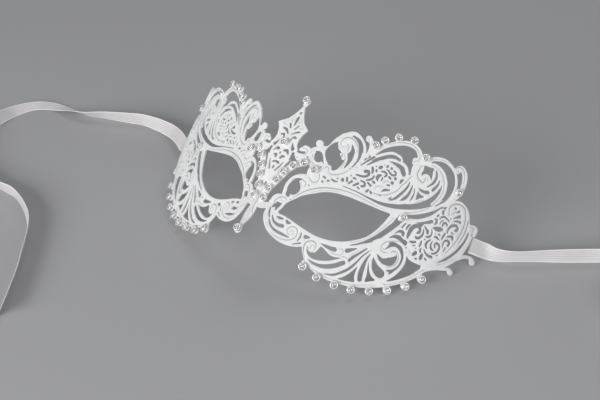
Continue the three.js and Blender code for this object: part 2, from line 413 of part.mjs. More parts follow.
const insideOuter = (p) => {
  let c = false;
  for (let k = 0, m = outer.length - 1; k < outer.length; m = k++) {
    const [au, av] = outer[m],
      [bu, bv] = outer[k];
    if (av > p[1] !== bv > p[1] && p[0] < ((bu - au) * (p[1] - av)) / (bv - av) + au) c = !c;
  }
  return c;
};
for (const loop of loops) {
  if (area(loop) > -7 || !insideOuter(loop[0])) continue;
  const small = simplify(loop, TOLERANCE);
  if (small.length > 3) shape.holes.push(new THREE.Path(small.map(([u, v]) => new THREE.Vector2(u, v))));
}

// Bending: u is the length along the sheet, so x comes from the length of the curve
const depthAt = (x) => {
  const s = Math.sqrt(x * x + 9) - 3,
    a = Math.abs(x);
  return CURVE[0] + CURVE[1] * s + CURVE[2] * a ** 2 + CURVE[3] * a ** 3 + CURVE[4] * a ** 4;
};
const lengthTable = [[0, 0]];
for (let x = 0.05; x < 112; x += 0.05) {
  const [u] = lengthTable[lengthTable.length - 1];
  lengthTable.push([u + Math.hypot(0.05, depthAt(x) - depthAt(x - 0.05)), x]);
}
const xAt = (u) => {
  const a = Math.abs(u);
  let lo = 0,
    hi = lengthTable.length - 1;
  while (hi - lo > 1) {
    const mid = (lo + hi) >> 1;
    if (lengthTable[mid][0] <= a) lo = mid;
    else hi = mid;
  }
  const [p, q] = [lengthTable[lo], lengthTable[hi]];
  return Math.sign(u) * (p[1] + ((q[1] - p[1]) * (a - p[0])) / (q[0] - p[0]));
};
function onSheet(u, v) {
  const x = xAt(u),
    y = depthAt(x) + lerp(RIDGE, v) * Math.exp(-((x / RIDGE_WIDTH) ** 2));
  return new THREE.Vector3(
    x,
    y * Math.cos(LEAN) + v * Math.sin(LEAN),
    -y * Math.sin(LEAN) + v * Math.cos(LEAN),
  );
}
function sheetFrame(u, v) {
  const alongU = onSheet(u + 0.4, v).sub(onSheet(u - 0.4, v)).normalize();
  const alongV = onSheet(u, v + 0.8).sub(onSheet(u, v - 0.8)).normalize();
  const front = new THREE.Vector3().crossVectors(alongU, alongV).normalize();
  return { alongU, alongV, front };
}
// Flat triangles are split on lines across the sheet, so that they follow the bend
function splitAcross(tris, u0) {
  const out = [];
  const meet = (a, b) => {
    const [p, q] = a[0] < b[0] || (a[0] === b[0] && (a[1] < b[1] || (a[1] === b[1] && a[2] < b[2]))) ? [a, b] : [b, a];
    const t = (u0 - p[0]) / (q[0] - p[0]);
    return [u0, p[1] + (q[1] - p[1]) * t, p[2] + (q[2] - p[2]) * t];
  };
  for (const tri of tris) {
    const side = tri.map((p) => Math.sign(Math.abs(p[0] - u0) < 1e-4 ? 0 : p[0] - u0));
    if (!(side.includes(1) && side.includes(-1))) {
      out.push(tri);
      continue;
    }
    const ring = [];
    for (let k = 0; k < 3; k++) {
      const a = tri[k],
        b = tri[(k + 1) % 3];
      ring.push([a, side[k]]);
      if (side[k] * side[(k + 1) % 3] < 0) ring.push([meet(a, b), 0]);
    }
    for (const s of [1, -1]) {
      const part = ring.filter(([, t]) => t === 0 || t === s).map(([p]) => p);
      for (let k = 2; k < part.length; k++) out.push([part[0], part[k - 1], part[k]]);
    }
  }
  return out;
}
function bentSheet() {
  const flat = new THREE.ExtrudeGeometry(shape, { depth: SHEET, bevelEnabled: false, steps: 1 });
  const p = flat.getAttribute("position");
  let tris = [];
  for (let i = 0; i < p.count; i += 3)
    tris.push([0, 1, 2].map((k) => [p.getX(i + k), p.getY(i + k), p.getZ(i + k)]));
  for (const u of [-92, -80, -64, -44, -20, 20, 44, 64, 80, 92]) tris = splitAcross(tris, u);
  const out = [];
  for (const tri of tris)
    for (const [u, v, n] of tri) {
      const { front } = sheetFrame(u, v);
      out.push(...onSheet(u, v).addScaledVector(front, n - SHEET / 2).toArray());
    }
  const g = new THREE.BufferGeometry().setAttribute("position", new THREE.Float32BufferAttribute(out, 3));
  const merged = mergeVertices(g, 1e-4);
  merged.computeVertexNormals();
  return merged;
}

const white = new THREE.MeshStandardMaterial({ color: 0xf2f2f0, roughness: 0.4, metalness: 0.0 });
const crystal = new THREE.MeshStandardMaterial({ color: 0xe8ecee, roughness: 0.1, metalness: 0.2 });
const satin = new THREE.MeshStandardMaterial({ color: 0xe9e6e6, roughness: 0.5, metalness: 0.0 });
const mask = new THREE.Group();
const add = (geometry, material, name) => {
  const mesh = new THREE.Mesh(geometry, material);
  mesh.name = name;
  mask.add(mesh);
  return mesh;
};
add(bentSheet(), white, "filigree_plate");

// A stone in its cup, standing on the front of its pad
const stoneProfile = [
  [0, 0],
  [STONE_R, 0],
  [STONE_R, STONE_H],
  [STONE_R * 0.6, STONE_H + STONE_CROWN],
  [0, STONE_H + STONE_CROWN],
].map(([r, y]) => new THREE.Vector2(r, y));
function addStone(name, u, v) {
  const g = new THREE.LatheGeometry(stoneProfile, 7);
  g.deleteAttribute("normal");
  g.deleteAttribute("uv");
  const stone = add(mergeVertices(g, 1e-4), crystal, name);
  const { front } = sheetFrame(u, v);
  stone.quaternion.setFromUnitVectors(new THREE.Vector3(0, 1, 0), front);
  stone.position.copy(onSheet(u, v).addScaledVector(front, SHEET / 2 + GAP));
}
for (const [name, [u, v]] of Object.entries(stones)) {
  addStone("stone_" + name + "_right", u, v);
  addStone("stone_" + name + "_left", -u, v);
}
for (const [name, [u, v]] of Object.entries(centreStones)) addStone("stone_" + name, u, v);

// The model's origin: the middle of the sheet and stones, on the floor
mask.updateMatrixWorld(true);
const box = new THREE.Box3().setFromObject(mask, true);
const origin = new THREE.Vector3(0, (box.min.y + box.max.y) / 2, box.min.z);
for (const mesh of mask.children) mesh.position.sub(origin);

// The ties: a band that leaves its tab level with the sheet and then rests on its edge on the floor
const lerpList = (list, t) => {
  const k = Math.min(Math.floor(t), list.length - 2);
  return list[k] + (list[k + 1] - list[k]) * (t - k);
};
function addTie(name, route, startUp, hand) {
  const w = TIE_W / 2,
    t = TIE_T / 2,
    e = 0.12;
  const leans = route.map(([, , lean]) => (lean * Math.PI) / 180);
  const curve = new THREE.CatmullRomCurve3(
    route.map(([x, y, lean, z]) => {
      const a = (lean * Math.PI) / 180;
      return new THREE.Vector3(x, y, z ?? w * Math.abs(Math.cos(a)) + t * Math.abs(Math.sin(a)) + 0.1);
    }),
    false,
    "centripetal",
  );
  curve.arcLengthDivisions = 1200;
  const whole = curve.getLength();
  if (whole < TIE_LENGTH) throw new Error(name + " is too short: " + whole);
  const part = TIE_LENGTH / whole;
  const section = new THREE.Shape(
    [
      [-t, -w + e], [-t + e, -w], [t - e, -w], [t, -w + e],
      [t, w - e], [t - e, w], [-t + e, w], [-t, w - e],
    ].map(([a, b]) => new THREE.Vector2(a, b)),
  );
  const g = new THREE.ExtrudeGeometry(section, { depth: 1, steps: 38, bevelEnabled: false });
  const p = g.getAttribute("position");
  // each four-sided stretch of the back face is split along the same diagonal as the front one, so that where the
  // band twists its two faces stay a thickness apart
  for (let i = 0; i + 5 < p.count; i += 6) {
    const quad = [0, 1, 2, 3, 4, 5].map((k) => new THREE.Vector3().fromBufferAttribute(p, i + k));
    if (!quad.every((v) => Math.abs(v.x + t) < 1e-6)) continue;
    const [a, b, d, , c] = quad;
    [a, b, c, a, c, d].forEach((v, k) => p.setXYZ(i + k, v.x, v.y, v.z));
  }
  for (let i = 0; i < p.count; i++) {
    const s = Math.min(1, Math.max(0, p.getZ(i))) * part;
    const c = curve.getPointAt(s),
      tangent = curve.getTangentAt(s);
    const lean = lerpList(leans, curve.getUtoTmapping(s) * (route.length - 1));
    const aside = new THREE.Vector3(-tangent.y, tangent.x, 0).normalize().multiplyScalar(hand);
    const turn = Math.min(1, (s * whole) / 15);
    const leaning = new THREE.Vector3(0, 0, Math.cos(lean)).addScaledVector(aside, Math.sin(lean));
    const up = startUp.clone().lerp(leaning, turn * turn * (3 - 2 * turn));
    up.addScaledVector(tangent, -up.dot(tangent)).normalize();
    const side = new THREE.Vector3().crossVectors(up, tangent).normalize();
    c.addScaledVector(side, p.getX(i)).addScaledVector(up, p.getY(i));
    p.setXYZ(i, c.x, c.y, c.z);
  }
  g.deleteAttribute("normal");
  g.deleteAttribute("uv");
  add(mergeVertices(g, 1e-4), satin, name);
}

// The ties lie on the floor: each route point has its place on the floor and how far the band leans from upright, in degrees;
// the first ones, where the band comes down from its strap, also have their height.
const TIE_LENGTH = 332;
const tieRight = [
  [84.75, 28.35, 38, 10], [88.1, 30.9, 36, 7.6], [90.92, 33.09, 28, 5.6], [92.93, 33.99, 12, 4.6], [95.55, 34.79, -4, 4.1],
  [99.35, 36.45, -19], [105.55, 39.65, -14], [113.45, 44.75, -4], [121.35, 49.75, 2], [129.25, 54.75, 6],
  [136.85, 59.45, 8], [150.05, 66.65, 8], [164.55, 72.45, 7],
];
// the rest of the right tie lies in a loose spiral
const spiralMiddle = [185, 42.65],
  spiralStart = (100 * Math.PI) / 180,
  spiralTurns = 1.3;
for (let k = 0; k <= 14; k++) {
  const a = spiralStart - (k / 14) * spiralTurns * 2 * Math.PI,
    r = 34 - (6.5 * k) / 14;
  tieRight.push([spiralMiddle[0] + r * Math.cos(a), spiralMiddle[1] + r * Math.sin(a), 6 * Math.cos(0.9 * k)]);
}
const tieLeft = [
  [-84.75, 28.35, 38, 10], [-88.3, 30.85, 38, 7.9], [-94.78, 35.3, 37, 7.6], [-104.97, 41.39, 33, 5.2], [-112.36, 43.69, 28, 4.2],
  [-118.45, 44.75, 20], [-128.35, 44.25, -4], [-136.85, 41.65, -10], [-145.25, 38.95, -17], [-153.75, 36.25, -30],
  [-162.15, 33.25, -41], [-169.85, 33.05, -55], [-179.45, 33.45, -77], [-189.45, 31.85, -97], [-194.45, 28.85, -104],
  [-199.25, 24.25, -104], [-202.55, 15.95, -112], [-202.45, 6.35, -140], [-201.35, -3.35, -152], [-196.95, -17.35, -158],
  [-187.45, -30.35, -161], [-174.45, -39.85, -163], [-160.95, -44.35, -165], [-149.75, -46.05, -166], [-140.75, -46.75, -170],
  [-129.95, -51.25, -180], [-121.65, -56.35, -191], [-116.45, -60.55, -196], [-109.55, -68.45, -199], [-103.75, -76.65, -200],
  [-98.35, -84.75, -201], [-93.05, -92.55, -202], [-88.35, -100.45, -204], [-83.75, -108.05, -206], [-80.35, -114.05, -207],
  [-77.05, -120.05, -207], [-72.95, -127.65, -207],
];
const ruling = new THREE.Vector3(0, Math.sin(LEAN), Math.cos(LEAN));
addTie("tie_right", tieRight, ruling, 1);
addTie("tie_left", tieLeft, ruling, -1);

export default mask;
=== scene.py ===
"""Masquerade mask: a pierced, bent and white-coated metal sheet, clear stones in round cups, two satin ribbons."""

import math

import bpy
import numpy as np
from mathutils import Matrix, Vector
from mathutils.geometry import delaunay_2d_cdt


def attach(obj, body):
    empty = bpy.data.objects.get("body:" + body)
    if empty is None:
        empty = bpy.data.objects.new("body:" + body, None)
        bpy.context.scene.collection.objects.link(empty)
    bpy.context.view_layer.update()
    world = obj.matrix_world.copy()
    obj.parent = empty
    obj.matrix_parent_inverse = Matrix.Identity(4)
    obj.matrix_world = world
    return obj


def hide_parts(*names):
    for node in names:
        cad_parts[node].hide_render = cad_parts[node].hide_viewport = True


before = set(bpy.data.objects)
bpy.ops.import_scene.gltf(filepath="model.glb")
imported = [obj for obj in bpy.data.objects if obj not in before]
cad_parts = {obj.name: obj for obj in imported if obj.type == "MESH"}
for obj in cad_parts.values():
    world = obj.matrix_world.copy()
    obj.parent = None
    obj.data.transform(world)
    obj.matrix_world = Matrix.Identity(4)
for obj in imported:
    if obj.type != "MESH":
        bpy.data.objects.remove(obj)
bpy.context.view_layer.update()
scene = bpy.context.scene
MM = 0.001

# ---------------------------------------------------------------- sizes, millimetres
SHEET = 1.0  # thickness of the coated sheet
LEAN = math.radians(45.8)  # how far it leans back
PAD_R = 1.7  # round pad behind each stone
STONE_R = 1.95
STONE_GAP = 0.3
CURVE = (7.99, 0.3527, 0.00794, -0.000175, 0.00000144202)
RIDGE = ((-5, -9.5), (0, -7.6), (8, -4.0), (17, -0.6), (30, 0.5), (46, 3.0), (69, 8.1), (80, 9.8))
RIDGE_WIDTH = 8.0
ORIGIN = np.array([0.0, 39.37816647, -30.17914390])
CELL = 0.1
REACH = 109.0
LOW, HIGH = -10.5, 72.0
TIE_W, TIE_T = 7.6, 0.36
TIE_LENGTH = 332.0

# ---------------------------------------------------------------- camera
cam_data = bpy.data.cameras.new("camera")
cam_data.lens, cam_data.sensor_width = 66.0, 36.0
cam_data.clip_start, cam_data.clip_end = 0.02, 20
cam = bpy.data.objects.new("camera", cam_data)
scene.collection.objects.link(cam)
right = Vector((0.838379, 0.544569, -0.023776))
up = Vector((-0.300621, 0.498319, 0.813207))
back = -Vector((-0.454695, 0.674628, -0.581489))
rotation = Matrix((right, up, back)).transposed()
cam.matrix_world = Matrix.Translation(Vector((246.856, -354.291, 330.496)) * MM) @ rotation.to_4x4()
scene.camera = cam


# ---------------------------------------------------------------- curves
def spline(points, n=8, closed=False):
    """Centripetal curve through the points: the points along it, and each one's place on the way from 0 to 1."""
    p = np.array(points, float)
    if len(p) == 1:
        p = np.vstack([p, p + 0.01 * np.eye(p.shape[1])[0]])
    m = len(p)
    out, where = [], []
    runs = m if closed else m - 1
    for i in range(runs):
        if closed:
            a, b, c, d = p[(i - 1) % m], p[i], p[(i + 1) % m], p[(i + 2) % m]
        else:
            b, c = p[i], p[i + 1]
            a = p[i - 1] if i > 0 else 2 * b - c
            d = p[i + 2] if i + 2 < m else 2 * c - b
        t = np.linspace(0, 1, n, endpoint=False)[:, None]
        d1 = max(np.linalg.norm(b - a), 1e-9) ** 0.5
        d2 = max(np.linalg.norm(c - b), 1e-9) ** 0.5
        d3 = max(np.linalg.norm(d - c), 1e-9) ** 0.5
        g1 = ((b - a) / d1 - (c - a) / (d1 + d2) + (c - b) / d2) * d2
        g2 = ((c - b) / d2 - (d - b) / (d2 + d3) + (d - c) / d3) * d2
        out.append(
            (2 * t**3 - 3 * t**2 + 1) * b + (t**3 - 2 * t**2 + t) * g1 + (3 * t**2 - 2 * t**3) * c + (t**3 - t**2) * g2
        )
        where.append((i + t[:, 0]) / runs)
    if not closed:
        out.append(p[-1:])
        where.append(np.array([1.0]))
    return np.vstack(out), np.concatenate(where)


def unit(a):
    return a / np.maximum(np.linalg.norm(a, axis=-1, keepdims=True), 1e-12)


def new_object(name, verts, faces, smooth=True):
    mesh = bpy.data.meshes.new(name)
    mesh.from_pydata([tuple(v) for v in verts], [], [tuple(int(i) for i in f) for f in faces])
    mesh.validate()
    if smooth:
        mesh.shade_smooth()
    obj = bpy.data.objects.new(name, mesh)
    scene.collection.objects.link(obj)
    return obj


# ---------------------------------------------------------------- ribbons
tie_right = [
    (84.75, 28.35, 38, 10), (88.1, 30.9, 36, 7.6), (90.92, 33.09, 28, 5.6), (92.93, 33.99, 12, 4.6), (95.55, 34.79, -4, 4.1),
    (99.35, 36.45, -19), (105.55, 39.65, -14), (113.45, 44.75, -4), (121.35, 49.75, 2), (129.25, 54.75, 6),
    (136.85, 59.45, 8), (150.05, 66.65, 8), (164.55, 72.45, 7),
]
for k in range(15):
    angle = math.radians(100) - k / 14 * 1.3 * 2 * math.pi
    radius = 34 - 6.5 * k / 14
    tie_right.append((185 + radius * math.cos(angle), 42.65 + radius * math.sin(angle), 6 * math.cos(0.9 * k)))
tie_left = [
    (-84.75, 28.35, 38, 10), (-88.3, 30.85, 38, 7.9), (-94.78, 35.3, 37, 7.6), (-104.97, 41.39, 33, 5.2), (-112.36, 43.69, 28, 4.2),
    (-118.45, 44.75, 20), (-128.35, 44.25, -4), (-136.85, 41.65, -10), (-145.25, 38.95, -17), (-153.75, 36.25, -30),
    (-162.15, 33.25, -41), (-169.85, 33.05, -55), (-179.45, 33.45, -77), (-189.45, 31.85, -97), (-194.45, 28.85, -104),
    (-199.25, 24.25, -104), (-202.55, 15.95, -112), (-202.45, 6.35, -140), (-201.35, -3.35, -152), (-196.95, -17.35, -158),
    (-187.45, -30.35, -161), (-174.45, -39.85, -163), (-160.95, -44.35, -165), (-149.75, -46.05, -166), (-140.75, -46.75, -170),
    (-129.95, -51.25, -180), (-121.65, -56.35, -191), (-116.45, -60.55, -196), (-109.55, -68.45, -199), (-103.75, -76.65, -200),
    (-98.35, -84.75, -201), (-93.05, -92.55, -202), (-88.35, -100.45, -204), (-83.75, -108.05, -206), (-80.35, -114.05, -207),
    (-77.05, -120.05, -207), (-72.95, -127.65, -207),
]
RULING = np.array([0, math.sin(LEAN), math.cos(LEAN)])


def route(points, steps):
    """Even steps along the curve, over the ribbon's length, with the lean at each."""
    leans = np.radians([p[2] for p in points])
    places = [
        (p[0], p[1], p[3] if len(p) > 3 else TIE_W / 2 * abs(math.cos(a)) + TIE_T / 2 * abs(math.sin(a)) + 0.12)
        for p, a in zip(points, leans)
    ]
    line, where = spline(places, 60)
    length = np.concatenate([[0], np.cumsum(np.linalg.norm(np.diff(line, axis=0), axis=1))])
    knots = np.interp(np.linspace(0, 1, len(points)), where, length)
    at = np.linspace(0, TIE_LENGTH, steps + 1)
    lean = np.interp(at, knots, leans)
    for _ in range(3):  # rounds the lean off between the route's points
        lean = np.convolve(np.pad(lean, 8, "edge"), np.ones(17) / 17, "valid")
    return np.stack([np.interp(at, length, line[:, k]) for k in range(3)], 1), at, lean


def ribbon(name, points, hand, seed):
    steps = 420
    centre, at, lean = route(points, steps)
    tangent = unit(np.gradient(centre, axis=0))
    turn = np.clip(at / 15, 0, 1)
    turn = (turn * turn * (3 - 2 * turn))[:, None]
    aside = hand * unit(np.stack([-tangent[:, 1], tangent[:, 0], np.zeros(len(at))], 1))
    rng = np.random.default_rng(seed)
    phase = rng.uniform(0, 6.28, 4)
    lean = lean + (0.03 * np.sin(at / 11 + phase[1]) + 0.015 * np.sin(at / 5.3 + phase[2])) * np.clip((at - 20) / 40, 0, 1)
    leaning = np.stack([np.zeros(len(at)), np.zeros(len(at)), np.cos(lean)], 1) + aside * np.sin(lean)[:, None]
    upward = RULING * (1 - turn) + leaning * turn
    upward = unit(upward - tangent * (upward * tangent).sum(1, keepdims=True))
    side = unit(np.cross(upward, tangent))
    # section: a thin band with a thread's roll along each edge
    across = np.linspace(-1, 1, 29)
    body = TIE_T / 2 * (0.62 + 0.38 * np.exp(-(((np.abs(across) - 0.945) / 0.045) ** 2)))
    body[[0, -1]] = TIE_T * 0.12
    ring = [(x, t) for x, t in zip(across, body)] + [(x, -t) for x, t in list(zip(across, body))[::-1]]
    cup = 0.10 * np.sin(at / 23 + phase[3])
    verts = []
    for i in range(steps + 1):
        for x, t in ring:
            bow = cup[i] * (1 - x * x)
            verts.append(centre[i] + upward[i] * (x * TIE_W / 2) + side[i] * (t + bow))
    n = len(ring)
    faces = []
    for i in range(steps):
        for k in range(n):
            a, b = i * n + k, i * n + (k + 1) % n
            faces.append((a, b, b + n, a + n))
    faces.append(tuple(range(n)))
    faces.append(tuple(steps * n + k for k in range(n))[::-1])
    obj = new_object(name, np.array(verts) * MM, faces)
    # lengthwise and crosswise coordinates for the weave
    uv = obj.data.uv_layers.new(name="weave")
    place = np.zeros((len(verts), 2))
    place[:, 0] = np.repeat(at, n)
    place[:, 1] = np.tile([x * TIE_W / 2 for x, _ in ring], steps + 1)
    loops = np.zeros(len(obj.data.loops), int)
    obj.data.loops.foreach_get("vertex_index", loops)
    uv.data.foreach_set("uv", (place[loops] * MM * 10).astype(np.float32).ravel())
    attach(obj, "root")
    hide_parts(name.replace("ribbon", "tie"))
    return obj


ribbons = [ribbon("ribbon_right", tie_right, 1, 4), ribbon("ribbon_left", tie_left, -1, 9)]


